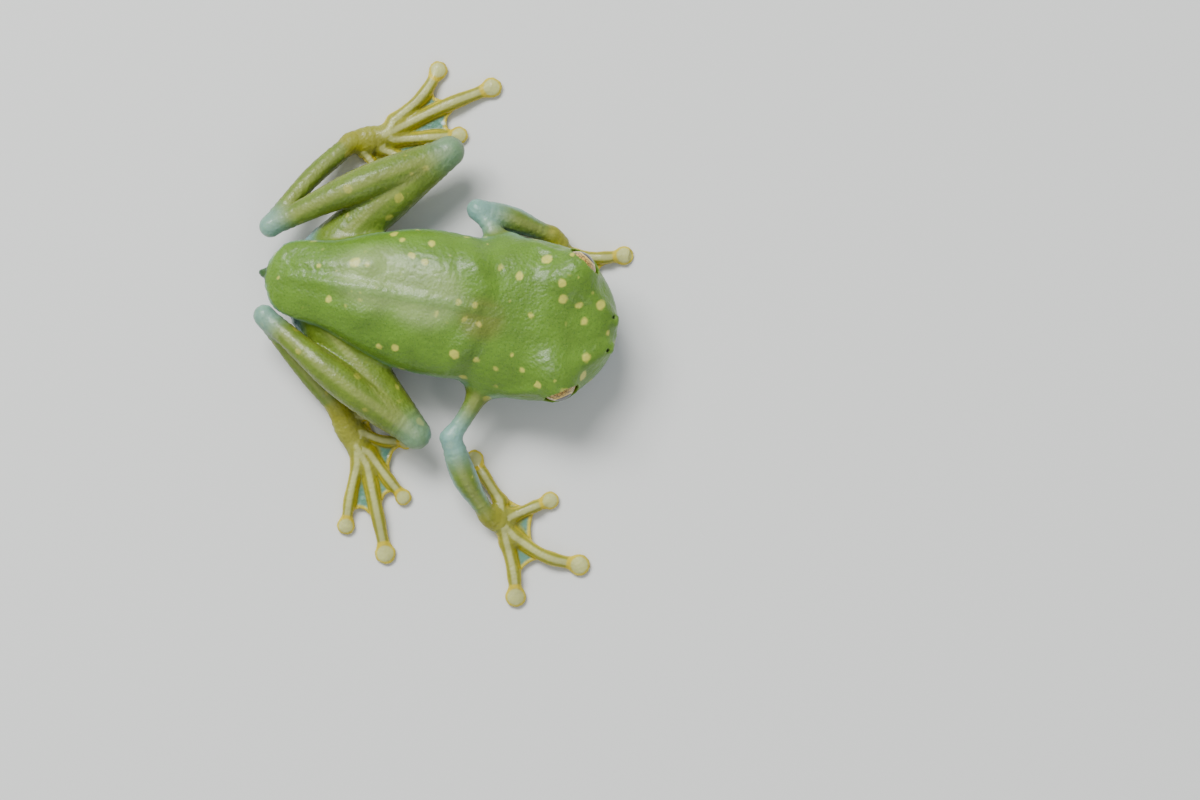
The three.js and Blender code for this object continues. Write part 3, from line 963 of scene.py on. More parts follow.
@dataclass
class Frog:
    """The whole animal: torso, eyes and limbs, and the small ridges and hollows over them."""

    torso: Torso = field(default_factory=Torso)
    eyes: list[EyeSet] = field(default_factory=lambda: [EyeSet(side) for side in Side])
    legs: list[HindLeg] = field(default_factory=lambda: [right_leg(), left_leg()])
    arms: list[Arm] = field(default_factory=lambda: [right_arm(), left_arm()])
    # The spacing of the measurements, and the room left round the solids.
    voxel: float = 0.11
    margin: float = 0.5
    # How far round a bent joint the skin creases.
    leg_crease: float = 1.7
    arm_crease: float = 1.3
    snout_ridge: Ridge = Ridge(
        ((22.4, 2.6, 5.75), (23.5, 1.7, 5.4), (24.3, 0.95, 4.95)), (0.4, 0.34, 0.28), blend=0.9
    )
    nostril_rim: Swelling = Swelling((24.2, 0.98, 5.05), (0.28, 0.28, 0.26), blend=0.35, margin=0.6)
    nostril_shade: Swelling = Swelling((24.5, 1.16, 5.22), (0.145, 0.145, 0.145), blend=0.08, margin=0.4)
    fold_behind_eye: Ridge = Ridge(
        ((19.9, 4.7, 5.75), (18.7, 5.0, 5.3), (17.4, 4.95, 4.5)), (0.3, 0.26, 0.2), blend=0.5
    )
    ear_rim: Swelling = Swelling((19.3, 5.18, 4.6), (0.3, 0.62, 0.56), blend=0.2, margin=0.5)
    ear_dish: Swelling = Swelling((19.3, 5.6, 4.6), (0.2, 0.46, 0.42), blend=0.12, margin=0.4)
    hip_hump: Ridge = Ridge(
        ((7.4, 1.75, 6.05), (5.0, 1.3, 5.35), (2.6, 0.85, 4.75)), (0.62, 0.5, 0.45), blend=0.7
    )
    shoulder_blade: Ridge = Ridge(
        ((15.3, 1.5, 6.55), (14.4, 3.0, 6.15), (13.8, 4.0, 5.3)), (0.6, 0.75, 0.5), blend=0.8
    )
    spine: Ridge = Ridge(
        ((15.0, 0.0, 6.95), (10.0, 0.0, 6.75), (7.0, 0.0, 6.55), (2.0, 0.0, 4.95)),
        (0.3, 0.34, 0.4, 0.3), blend=0.6, steps=16,
    )
    vent_flap: Ridge = Ridge(
        ((0.5, 0.0, 3.7), (-0.2, 0.0, 3.45)), (0.55, 0.3), blend=0.35, flatness=0.8, steps=4
    )

    def flesh(self, axes: BodyAxes) -> Flesh:
        """Models the flesh in one block, so that the skin over it has no seam.

        Args:
            axes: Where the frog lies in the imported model.

        Returns:
            The block, with nothing below the floor.
        """
        low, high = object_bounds()
        shift = np.array([axes.midline, axes.vent, 0.0])
        block = Flesh(
            (np.array(low) - shift) / MM - self.margin,
            (np.array(high) - shift) / MM + self.margin,
            self.voxel,
        )
        self.torso.add_to(block)
        for limb in (*self.arms, *self.legs):
            limb.add_to(block)
        for eye in self.eyes:
            eye.add_to(block)
        self.add_face(block)
        self.add_folds(block)
        block.distance = np.maximum(block.distance, -block.axes[2])
        return block

    def bends(self) -> list[tuple[Place, float]]:
        """Lists the bent joints.

        Returns:
            The place of each, and how far round it the skin creases.
        """
        legs = [(place, self.leg_crease) for leg in self.legs for place in (leg.knee, leg.heel, leg.ankle)]
        arms = [(place, self.arm_crease) for arm in self.arms for place in (arm.elbow, arm.wrist)]
        return legs + arms

    def add_face(self, block: Flesh) -> None:
        """Adds the nostrils on their low swellings, and the rounded ridges of the snout.

        Args:
            block: The flesh to add to.
        """
        for side in Side:
            self.snout_ridge.add_to(block, side)
            self.nostril_rim.add_to(block, side)
            self.nostril_shade.carve_from(block, side)

    def add_folds(self, block: Flesh) -> None:
        """Adds the fold behind each eye, the ears, hips, shoulder blades and spine, and the vent's flap.

        Args:
            block: The flesh to add to.
        """
        for side in Side:
            self.fold_behind_eye.add_to(block, side)
            self.ear_rim.add_to(block, side)
            self.ear_dish.carve_from(block, side)
            self.hip_hump.add_to(block, side)
            self.shoulder_blade.add_to(block, side)
        self.spine.add_to(block, Side.LEFT)
        self.vent_flap.add_to(block, Side.LEFT)


def right_leg() -> HindLeg:
    """The right hind leg, its toes spread out to the side."""
    return HindLeg(
        Side.RIGHT,
        hip=(3.3, -1.65, 2.4), thigh=(7.5, -5.2, 2.95), knee=(12.3, -9.25, 3.4),
        shank=(5.9, -6.15, 4.35), heel=(0.4, -2.95, 3.3), tarsus=(3.3, -5.8, 2.15),
        ankle=(6.4, -8.45, 1.0), sole=(8.2, -10.9, 0.55),
        toes=[
            Digit(((7.5, -8.85), (8.65, -8.6), (9.2, -8.0), (9.3, -7.2)), 0.36, 0.44, (0, 0.35)),
            Digit(((8.3, -9.85), (9.85, -10.15), (11.55, -9.98)), 0.42, 0.56, (0.35, 0.9)),
            Digit(((9.15, -11.2), (10.6, -12.6), (12.05, -13.9)), 0.47, 0.6, (0.6, 0.85)),
            Digit(((9.15, -12.1), (10.5, -15.45), (11.5, -18.05)), 0.54, 0.76, (0.62, 0.72)),
            Digit(((8.45, -12.1), (8.35, -14.6), (8.4, -16.6)), 0.48, 0.65, (0.8, 0)),
        ],
    )


def left_leg() -> HindLeg:
    """The left hind leg, its foot out beside the knee."""
    return HindLeg(
        Side.LEFT,
        hip=(3.4, 1.65, 2.4), thigh=(7.1, 6.3, 2.95), knee=(11.15, 10.65, 3.4),
        shank=(4.4, 6.5, 4.2), heel=(-0.3, 3.3, 3.3), tarsus=(1.75, 7.1, 2.15),
        ankle=(4.05, 10.2, 1.0), sole=(6.3, 11.1, 0.55),
        toes=[
            Digit(((5.0, 9.75), (5.85, 8.95), (6.2, 7.85)), 0.4, 0.47, (0, 0.7)),
            Digit(((6.3, 10.15), (8.1, 9.7), (9.35, 9.2)), 0.42, 0.6, (0.8, 0.9)),
            Digit(((7.0, 10.95), (9.2, 11.5), (11.45, 12.1)), 0.5, 0.65, (0.72, 0.92)),
            Digit(((7.2, 11.85), (9.9, 13.8), (13.15, 15.85)), 0.56, 0.74, (0.68, 0.68)),
            Digit(((6.75, 12.3), (8.5, 14.5), (9.2, 16.4)), 0.52, 0.68, (0.78, 0)),
        ],
    )


def right_arm() -> Arm:
    """The right arm, reaching out and forward."""
    return Arm(
        shoulder=(16.5, -4.3, 3.5), upper_arm=(15.7, -7.0, 3.4), elbow=(14.75, -9.1, 3.3),
        forearm=(16.2, -11.7, 2.6), wrist=(18.2, -14.05, 1.25), palm=(19.3, -14.4, 0.55),
        fingers=[
            Digit(((18.9, -12.95), (17.8, -11.75), (16.55, -10.35)), 0.5, 0.68, (0, 0.45)),
            Digit(((19.9, -13.85), (21.2, -13.0), (22.35, -12.3)), 0.48, 0.66, (0.4, 0.6)),
            Digit(((20.3, -15.25), (22.75, -16.25), (25.2, -16.45)), 0.54, 0.78, (0.3, 0.6)),
            Digit(((19.85, -15.75), (20.75, -17.9), (21.15, -19.45)), 0.55, 0.76, (0.7, 0)),
        ],
    )


def left_arm() -> Arm:
    """The left arm, its hand tucked under the throat."""
    return Arm(
        shoulder=(16.3, 4.3, 3.4), upper_arm=(15.0, 5.9, 3.2), elbow=(13.8, 7.0, 2.9),
        forearm=(16.5, 6.75, 2.2), wrist=(19.2, 6.2, 1.25), palm=(20.1, 5.1, 0.55),
        fingers=[
            Digit(((18.75, 5.1), (16.7, 4.8), (14.85, 4.65)), 0.56, 0.74, (0, 0.6)),
            Digit(((19.5, 4.1), (19.25, 2.85), (19.25, 1.7)), 0.48, 0.66, (0.4, 0.7)),
            Digit(((20.9, 4.25), (22.4, 2.65), (23.75, 1.1)), 0.52, 0.78, (0.3, 0.6)),
            Digit(((21.1, 5.1), (22.95, 5.3), (24.5, 5.75)), 0.5, 0.7, (0.75, 0)),
        ],
    )


def add_node(
    tree: bpy.types.NodeTree,
    kind: str,
    settings: dict[str, object] | None = None,
    **inputs: object,
) -> bpy.types.Node:
    """Adds a shader node with its settings, values and links.

    Args:
        tree: The material's node tree.
        kind: The node's type name.
        settings: Properties of the node itself.
        **inputs: A value or an output socket for each input, by its name with spaces as
            underscores, or by its number after an underscore.

    Returns:
        The new node.
    """
    node = tree.nodes.new(kind)
    for name, value in (settings or {}).items():
        setattr(node, name, value)
    for name, value in inputs.items():
        key = int(name[1:]) if name[1:].isdigit() else name.replace("_", " ")
        if isinstance(value, bpy.types.NodeSocket):
            tree.links.new(value, node.inputs[key])
        else:
            node.inputs[key].default_value = value
    return node


@dataclass(frozen=True)
class Tint:
    """A colour laid over the skin where a mark is between two levels."""

    mark: Mark
    colour: str
    start: float = 0.0
    end: float = 1.0
    strength: float = 1.0


@dataclass(frozen=True)
class MoistSkin:
    """Living frog skin: thin, wet and see-through to a small depth."""

    # Light sinks a fraction of a millimetre into the skin and comes out softened, so shaded edges glow.
    # The slime on it is the coat, which gives the sharp wet gleams over the duller granules.
    roughness: float = 0.48
    ior: float = 1.4
    translucence: float = 0.45
    sink_mm: float = 0.6
    sink_by_colour: Place = (0.9, 1.0, 0.5)
    slime: float = 0.35
    slime_roughness: float = 0.14
    slime_ior: float = 1.34
    ground: str = "#5F8424"
    pigment: str = "#2F5B16"
    spot: str = "#C9C752"
    # In the order in which they are laid, each over the ones before it.
    tints: tuple[Tint, ...] = (
        Tint(Mark.VISCERA_GLOW, "#C3CF96", strength=0.3),
        Tint(Mark.HEART_GLOW, "#7A4A34", strength=0.28),
        Tint(Mark.SPINE_GLOW, "#4E7A2A", strength=0.3),
        Tint(Mark.FLANK, "#78A388", strength=0.6),
        Tint(Mark.LIMB, "#6C7420", strength=0.85),
        Tint(Mark.UNDER_LIMB, "#77752E", strength=0.8),
        Tint(Mark.BONE, "#A7AA66", strength=0.5),
        Tint(Mark.BELLY, "#5F8D91", strength=0.95),
        Tint(Mark.THROAT, "#7A9CA6", strength=0.8),
        # Painted sheen: a pale blue gleam over the joints and the forearms' outer edges.
        Tint(Mark.JOINT_SHEEN, "#7DABA8", strength=0.8),
        Tint(Mark.WEB, "#5B8A74", strength=0.95),
        Tint(Mark.DIGIT, "#8E8C20", strength=0.9),
        Tint(Mark.DIGIT_BONE, "#C6C98C", strength=0.6),
        Tint(Mark.DIGIT_EDGE, "#C2B021", strength=0.85),
        Tint(Mark.RIM, "#CDB81F", strength=0.9),
        Tint(Mark.PAD, "#C3C583", strength=0.85),
        # Painted highlight: pale glints on the tips of the granules.
        Tint(Mark.BEAD_GLINT, "#C4DDE4", start=0.55, end=1.0, strength=0.75),
        Tint(Mark.HEART, "#4A1F2B", strength=0.85),
        Tint(Mark.VISCERA, "#EDE3D6", strength=1.0),
        # Painted shade: the gaps between the granules over the viscera darkened.
        Tint(Mark.GRANULE_GAP_SHADE, "#B08C80", start=0.35, end=0.8, strength=0.55),
        Tint(Mark.GALL, "#8C862A", strength=0.85),
        Tint(Mark.CORD, "#A9C6DD", strength=0.85),
        Tint(Mark.VEIN, "#C1121F", strength=1.0),
        Tint(Mark.LIP, "#C9D58A", strength=0.4),
        Tint(Mark.MOUTH, "#3C4A22", strength=0.8),
        # Painted shade: the nostrils darkened in and round their holes.
        Tint(Mark.NOSTRIL_SHADE, "#1C2610", strength=0.65),
        Tint(Mark.VENT, "#26490F", strength=0.85),
    )
    # Real pigment cells are about 0.05 mm apart, too fine to show, so they are drawn about three times
    # as coarse.
    stipple_mm: float = 0.16
    stipple_fade: Fade = (0.34, 0.08)
    stipple_strength: float = 0.55
    spot_spacing_mm: float = 1.25
    spot_scatter: float = 0.9
    spot_sizes: Fade = (-0.04, 0.3)
    spot_edge: Fade = (-0.09, 0.05)
    spot_strength: float = 0.85
    wander_mm: float = 0.9
    wander_reach_mm: float = 0.5
    cloud_mm: float = 1.6
    cloud_fade: Fade = (0.3, 0.7)
    cloud_shades: Fade = (0.86, 1.1)
    granule_mm: float = 0.42
    granule_depth_mm: float = 0.055
    granule_strength: float = 0.7
    granule_softness: float = 0.6

    def build(self) -> bpy.types.Material:
        """Makes the skin's material.

        Returns:
            The material, with its colour from marks and patterns of real size.
        """
        material = bpy.data.materials.new("moist_translucent_skin")
        material.use_nodes = True
        tree = material.node_tree
        tree.nodes.clear()
        place = add_node(tree, "ShaderNodeTexCoord").outputs["Object"]
        colour = self.back_pattern(tree, place)
        for tint in self.tints:
            mark = add_node(tree, "ShaderNodeAttribute", {"attribute_name": tint.mark.value})
            level = add_node(
                tree, "ShaderNodeMapRange", {"interpolation_type": "SMOOTHSTEP"},
                Value=mark.outputs["Fac"], From_Min=tint.start, From_Max=tint.end,
                To_Max=tint.strength,
            )
            colour = add_node(
                tree, "ShaderNodeMix", {"data_type": "RGBA"},
                _0=level.outputs["Result"], _6=colour, _7=linear(tint.colour),
            ).outputs[2]
        colour = self.mottle(tree, place, colour)
        shader = add_node(
            tree, "ShaderNodeBsdfPrincipled", {"subsurface_method": "RANDOM_WALK"},
            Base_Color=colour, Roughness=self.roughness, IOR=self.ior,
            Subsurface_Weight=self.translucence, Subsurface_Radius=self.sink_by_colour,
            Subsurface_Scale=self.sink_mm * MM, Coat_Weight=self.slime,
            Coat_Roughness=self.slime_roughness, Coat_IOR=self.slime_ior,
            Normal=self.relief(tree, place),
        )
        add_node(tree, "ShaderNodeOutputMaterial", Surface=shader.outputs[0])
        return material

    def back_pattern(
        self, tree: bpy.types.NodeTree, place: bpy.types.NodeSocket
    ) -> bpy.types.NodeSocket:
        """Paints lime green under fine dark pigment cells, with soft pale yellow spots of mixed size.

        Args:
            tree: The material's node tree.
            place: The socket of each point's place on the skin.

        Returns:
            The socket of the colour.
        """
        cells = add_node(
            tree, "ShaderNodeTexVoronoi", Vector=place, Scale=1 / (self.stipple_mm * MM),
        )
        dark = add_node(
            tree, "ShaderNodeMapRange", Value=cells.outputs["Distance"],
            From_Min=self.stipple_fade[0], From_Max=self.stipple_fade[1],
            To_Max=self.stipple_strength,
        )
        green = add_node(
            tree, "ShaderNodeMix", {"data_type": "RGBA"}, _0=dark.outputs["Result"],
            _6=linear(self.ground), _7=linear(self.pigment),
        )
        wander = add_node(
            tree, "ShaderNodeTexNoise", Vector=place, Scale=1 / (self.wander_mm * MM), Detail=3.0,
        )
        reach = self.wander_reach_mm * MM
        offset = add_node(
            tree, "ShaderNodeVectorMath", {"operation": "MULTIPLY_ADD"},
            _0=wander.outputs["Color"], _1=(reach, reach, reach), _2=place,
        )
        spots = add_node(
            tree, "ShaderNodeTexVoronoi", Vector=offset.outputs[0],
            Scale=1 / (self.spot_spacing_mm * MM), Randomness=self.spot_scatter,
        )
        lot = add_node(tree, "ShaderNodeSeparateColor", Color=spots.outputs["Color"])
        size = add_node(
            tree, "ShaderNodeMapRange", Value=lot.outputs[0],
            To_Min=self.spot_sizes[0], To_Max=self.spot_sizes[1],
        )
        depth = add_node(
            tree, "ShaderNodeMath", {"operation": "SUBTRACT"},
            _0=size.outputs["Result"], _1=spots.outputs["Distance"],
        )
        soft = add_node(
            tree, "ShaderNodeMapRange", {"interpolation_type": "SMOOTHSTEP"},
            Value=depth.outputs[0], From_Min=self.spot_edge[0], From_Max=self.spot_edge[1],
            To_Max=self.spot_strength,
        )
        return add_node(
            tree, "ShaderNodeMix", {"data_type": "RGBA"}, _0=soft.outputs["Result"],
            _6=green.outputs[2], _7=linear(self.spot),
        ).outputs[2]

    def mottle(
        self,
        tree: bpy.types.NodeTree,
        place: bpy.types.NodeSocket,
        colour: bpy.types.NodeSocket,
    ) -> bpy.types.NodeSocket:
        """Varies the colour a little over a millimetre or two, as thin skin does.

        Args:
            tree: The material's node tree.
            place: The socket of each point's place on the skin.
            colour: The socket of the colour so far.

        Returns:
            The socket of the varied colour.
        """
        cloud = add_node(
            tree, "ShaderNodeTexNoise", Vector=place, Scale=1 / (self.cloud_mm * MM), Detail=4.0,
        )
        shade = add_node(
            tree, "ShaderNodeMapRange", Value=cloud.outputs["Fac"],
            From_Min=self.cloud_fade[0], From_Max=self.cloud_fade[1],
            To_Min=self.cloud_shades[0], To_Max=self.cloud_shades[1],
        )
        return add_node(
            tree, "ShaderNodeHueSaturation", Color=colour, Value=shade.outputs["Result"],
        ).outputs[0]

    def relief(self, tree: bpy.types.NodeTree, place: bpy.types.NodeSocket) -> bpy.types.NodeSocket:
        """Raises fine granules over the whole skin, half the size of those in the mesh.

        Args:
            tree: The material's node tree.
            place: The socket of each point's place on the skin.

        Returns:
            The socket of the surface's direction.
        """
        grains = add_node(
            tree, "ShaderNodeTexVoronoi", {"feature": "SMOOTH_F1"},
            Vector=place, Scale=1 / (self.granule_mm / 2 * MM), Smoothness=self.granule_softness,
        )
        return add_node(
            tree, "ShaderNodeBump", {"invert": True}, Strength=self.granule_strength,
            Distance=self.granule_depth_mm * MM, Height=grains.outputs["Distance"],
        ).outputs[0]


@dataclass(frozen=True)
class Patch:
    """A soft-edged oval on the skin, as seen from straight above or below."""

    mark: Mark
    centre: GroundPlace
    radii: GroundPlace
    soft: float

    def show(self, points: np.ndarray) -> np.ndarray:
        """Finds the points in the oval.

        Args:
            points: Rows of points in frog space.

        Returns:
            A number from 0 to 1 for each.
        """
        forward, left = -points[:, 1], points[:, 0]
        away = np.hypot(
            (forward - self.centre[0]) / self.radii[0], (left - self.centre[1]) / self.radii[1]
        )
        return ease(away, 1 + self.soft, 1 - self.soft)


@dataclass(frozen=True)
class Streak:
    """A soft line on the skin, as seen from straight above or below."""

    mark: Mark
    places: Sequence[GroundPlace]
    half: float
    fade: Fade = (1.5, 0.6)
    steps: int = 30

    def show(self, points: np.ndarray) -> np.ndarray:
        """Finds the points on the line.

        Args:
            points: Rows of points in frog space.

        Returns:
            A number from 0 to 1 for each.
        """
        places = [(forward, left, 0.0) for forward, left in self.places]
        route = Route(places, (self.half, self.half), steps=self.steps)
        distance, _ = route.nearest(points * np.array([1.0, 1.0, 0.0]))
        return ease(distance, self.half * self.fade[0], self.half * self.fade[1])


@dataclass
class SkinMarks:
    """Where each marking lies on the skin, from 0 to 1 at each of its points."""

    frog: Frog
    points: np.ndarray
    normals: np.ndarray
    # The line between back and belly: a height along the trunk, and so far over the mouth on the head.
    trunk_side_line: float = 3.6
    jaw_side_line: float = 0.1
    jaw_from: float = 18.5
    trunk_line_fade: Fade = (0.45, -0.25)
    jaw_line_fade: Fade = (0.12, -0.05)
    neck_span: Fade = (18.0, 20.5)
    throat_span: Fade = (16.0, 18.5)
    # A span is in places forward, heights are over the floor, and a tilt or an over or under is by how
    # far up the skin faces, from -1 to 1.
    flank_heights: Fade = (5.6, 4.0)
    flank_tilt: Fade = (0.75, 0.3)
    flank_end_span: Fade = (17.5, 20.0)
    flank_loss_on_head: float = 0.65
    grainy_heights: Fade = (5.2, 3.6)
    grainy_span: Fade = (19.0, 16.0)
    foot_heights: Fade = (1.7, 0.95)
    digit_heights: Fade = (2.6, 1.1)
    limb_reach: float = 0.02
    limb_soft: float = 0.4
    limb_over: Fade = (0.1, 0.8)
    limb_loss_over: float = 0.45
    limb_under: Fade = (0.0, -0.6)
    shaft_reach: float = 0.03
    shaft_soft: float = 0.22
    shaft_edge: Fade = (0.8, 0.35)
    web_reach: float = 0.1
    web_soft: float = 0.5
    web_rim_soft: float = 0.16
    limb_bone_half: float = 0.36
    limb_bone_strength: float = 0.6
    digit_bone_half: float = 0.2
    # Shares of a bone's half width, of a limb's greatest girth and of a pad's radius.
    bone_fade: Fade = (1.5, 0.4)
    bone_box: float = 1.3
    pad_fade: Fade = (0.86, 0.66)
    pad_rim_outer: Fade = (1.35, 1.05)
    pad_rim_inner: Fade = (0.62, 0.84)
    bone_tilt: Fade = (0.35, 0.85)
    lip_above_mouth: float = 0.22
    lip_fade: Fade = (0.3, 0.05)
    lip_edge: Fade = (0.0, 0.1)
    lip_span: Fade = (18.5, 20.0)
    mouth_corner: Fade = (-0.1, 0.3)
    mouth_fade: Fade = (0.12, 0.06)
    nostril_shade_fade: Fade = (0.2, 0.12)
    vent_forward: float = 0.1
    vent_reach: Fade = (0.85, 0.5)
    vent_heights: Fade = (4.4, 3.9)
    # How far the painted blue sheen of a joint reaches, and how strong it is.
    knee_sheen: tuple[float, float] = (3.0, 0.6)
    heel_sheen: tuple[float, float] = (2.8, 0.85)
    elbow_sheen: tuple[float, float] = (3.6, 1.0)
    forearm_sheen: float = 0.75
    forearm_tilt: Fade = (0.9, 0.3)
    forearm_soft: float = 0.25
    sheen_heights: Fade = (1.3, 2.4)
    # Where the painted highlights on the granules' tips lie: mostly on the belly's left side, and under
    # the left thigh.
    glint_right: float = 0.25
    glint_left: Fade = (0.8, 2.2)
    glint_front_span: Fade = (17.5, 15.0)
    glint_rear_span: Fade = (4.0, 7.0)
    thigh_glint: float = 0.6
    thigh_glint_soft: float = 0.3
    thigh_glint_under: Fade = (-0.1, -0.6)
    organs_under: Fade = (0.0, -0.35)
    glows_over: Fade = (0.45, 0.9)
    # What shows through the belly: white viscera, a red vein, gall bladder, heart and two pale cords.
    organs: tuple[Patch | Streak, ...] = (
        Patch(Mark.VISCERA, (8.1, 1.25), (3.0, 2.0), 0.1),
        Patch(Mark.VISCERA, (11.4, 0.55), (2.6, 2.0), 0.1),
        Patch(Mark.VISCERA, (5.3, 0.3), (1.9, 0.55), 0.3),
        Patch(Mark.GALL, (10.85, -1.15), (0.75, 0.5), 0.25),
        Patch(Mark.HEART, (15.5, -0.95), (1.45, 1.2), 0.35),
        Streak(
            Mark.VEIN,
            ((3.7, 0.16), (5.5, 0.12), (6.6, 0.1), (9.0, 0.32), (10.4, 0.77), (11.2, 0.13), (12.2, -0.06)),
            0.19,
        ),
        Streak(Mark.CORD, ((13.0, -1.2), (14.5, -0.8), (15.4, -1.34), (16.6, -1.78)), 0.17),
        Streak(Mark.CORD, ((13.2, 0.35), (14.5, 0.0), (15.9, 0.31), (16.7, 0.53)), 0.17),
    )
    # What shows faintly through the thin skin of the back: viscera, heart and spine.
    glows: tuple[Patch | Streak, ...] = (
        Patch(Mark.VISCERA_GLOW, (8.1, 1.0), (3.2, 2.2), 0.5),
        Patch(Mark.VISCERA_GLOW, (11.4, 0.4), (2.7, 2.2), 0.5),
        Patch(Mark.HEART_GLOW, (15.6, -0.6), (1.5, 1.4), 0.6),
        Streak(Mark.SPINE_GLOW, ((5.0, 0.0), (10.0, 0.0), (16.5, 0.0)), 0.34),
    )
    forward: np.ndarray = field(init=False)
    height: np.ndarray = field(init=False)
    facing_up: np.ndarray = field(init=False)
    bases: list[WebbedBase] = field(init=False)
    limb_routes: list[Route] = field(init=False)
    digit_routes: list[Route] = field(init=False)
    palm_routes: list[Route] = field(init=False)
    mounds: list[Route] = field(init=False)
    limbs: np.ndarray = field(init=False)
    torso: np.ndarray = field(init=False)

    def __post_init__(self) -> None:
        """Gathers the limbs' lines, and tells limbs from torso."""
        legs, arms = self.frog.legs, self.frog.arms
        self.forward = -self.points[:, 1]
        self.height = self.points[:, 2]
        self.facing_up = self.normals[:, 2]
        self.bases = [leg.foot() for leg in legs] + [arm.hand() for arm in arms]
        self.limb_routes = [route for limb in (*legs, *arms) for route in limb.routes().values()]
        self.digit_routes = [digit.route() for base in self.bases for digit in base.digits]
        self.palm_routes = [route for base in self.bases for route in base.palm_routes()]
        self.mounds = [base.mound() for base in self.bases]
        lines = self.limb_routes + self.digit_routes + self.palm_routes + self.mounds
        self.limbs = self.near(lines, self.limb_reach, self.limb_soft)
        self.torso = 1 - self.limbs

    def near(self, routes: Sequence[Route], extra: float, soft: float) -> np.ndarray:
        """Marks what lies within reach of some routes.

        Args:
            routes: The lines and their girths.
            extra: How far past their girth the mark is full.
            soft: How much farther it fades out.

        Returns:
            A number from 0 to 1 for each point.
        """
        mask = np.zeros(len(self.points))
        for route in routes:
            inside = self.about(route, float(route.radii.max()) + extra + soft)
            if inside.any():
                distance, share = route.nearest(self.points[inside])
                girth = np.interp(share, np.linspace(0, 1, len(route.radii)), route.radii)
                here = ease(distance - girth, extra + soft, extra)
                mask[inside] = np.maximum(mask[inside], here)
        return mask

    def about(self, route: Route, reach: float) -> np.ndarray:
        """Whether each point is in the box that reaches so far past a route."""
        low, high = route.points.min(0) - reach, route.points.max(0) + reach
        return np.all((self.points > low) & (self.points < high), axis=1)

    def masks(self) -> dict[Mark, np.ndarray]:
        """Marks the whole skin.

        Returns:
            An array for each mark, one number for each point.
        """
        belly = self.torso * self.underside()
        return {
            **self.body_masks(belly),
            **self.limb_masks(),
            **self.face_masks(),
            **self.shown(self.organs, belly * ease(self.facing_up, *self.organs_under)),
            **self.shown(self.glows, self.torso * ease(self.facing_up, *self.glows_over)),
        }

    def underside(self) -> np.ndarray:
        """Tells belly and throat from back, sharply along the jaw and softly along the trunk.

        Returns:
            1 below the side line and 0 above it.
        """
        jaw_line = self.frog.torso.mouth_at(self.forward) + self.jaw_side_line
        side_line = np.where(self.forward > self.jaw_from, jaw_line, self.trunk_side_line)
        trunk = ease(self.height - side_line, *self.trunk_line_fade)
        head = ease(self.height - side_line, *self.jaw_line_fade)
        return trunk + (head - trunk) * ease(self.forward, *self.neck_span)

    def body_masks(self, belly: np.ndarray) -> dict[Mark, np.ndarray]:
        """Marks the trunk.

        Args:
            belly: Where the belly and throat are.

        Returns:
            An array for each mark.
        """
        sideways = ease(np.abs(self.facing_up), *self.flank_tilt)
        flank = self.torso * ease(self.height, *self.flank_heights) * sideways
        from_vent = np.hypot(self.forward - self.vent_forward, self.points[:, 0])
        grainy = self.torso * ease(self.height, *self.grainy_heights)
        return {
            Mark.FLANK: flank * (1 - self.flank_loss_on_head * ease(self.forward, *self.flank_end_span)),
            Mark.BELLY: belly,
            Mark.THROAT: belly * ease(self.forward, *self.throat_span),
            Mark.GRAINY: grainy * ease(self.forward, *self.grainy_span),
            Mark.GLINT_DOTS: self.glint_dots(belly),
            Mark.VENT: ease(from_vent, *self.vent_reach) * ease(self.height, *self.vent_heights),
        }

    def limb_masks(self) -> dict[Mark, np.ndarray]:
        """Marks the limbs, hands and feet.

        Returns:
            An array for each mark.
        """
        up = self.facing_up
        over = self.limb_loss_over * ease(up, *self.limb_over)
        low = ease(self.height, *self.foot_heights)
        shafts = self.near(self.digit_routes + self.palm_routes, self.shaft_reach, self.shaft_soft)
        soles = self.near(self.palm_routes + self.mounds, self.web_reach, self.web_soft)
        off_limbs = 1 - self.near(self.limb_routes, self.web_reach, self.web_soft)
        pads, pad_rims = self.pad_masks()
        bones = self.bones(self.limb_routes, self.limb_bone_half)
        digit_bones = self.bones(self.digit_routes + self.palm_routes, self.digit_bone_half)
        return {
            Mark.LIMB: self.limbs * (1 - over * (1 - shafts)),
            Mark.UNDER_LIMB: self.limbs * ease(up, *self.limb_under) * (1 - shafts),
            Mark.JOINT_SHEEN: self.blue_joints(),
            Mark.WEB: low * (1 - shafts) * off_limbs,
            Mark.DIGIT: np.maximum(shafts, soles) * ease(self.height, *self.digit_heights),
            Mark.DIGIT_EDGE: shafts * low * ease(np.abs(up), *self.shaft_edge),
            Mark.BONE: bones * self.limb_bone_strength,
            Mark.DIGIT_BONE: digit_bones * (1 - pads) * low,
            Mark.RIM: np.maximum(pad_rims, self.web_rims()) * low,
            Mark.PAD: pads * low,
        }

    def face_masks(self) -> dict[Mark, np.ndarray]:
        """Marks the mouth's dark line, the pale lip above it and the painted shade of the nostrils.

        Returns:
            An array for each mark.
        """
        ahead = self.forward - self.frog.torso.mouth_rear
        over_mouth = self.height - self.frog.torso.mouth_at(self.forward)
        lip = ease(np.abs(over_mouth - self.lip_above_mouth), *self.lip_fade)
        lip = lip * ease(over_mouth, *self.lip_edge)
        mouth = ease(np.abs(over_mouth), *self.mouth_fade)
        return {
            Mark.LIP: self.torso * lip * ease(self.forward, *self.lip_span),
            Mark.MOUTH: self.torso * mouth * ease(ahead, *self.mouth_corner),
            Mark.NOSTRIL_SHADE: self.nostrils(),
        }

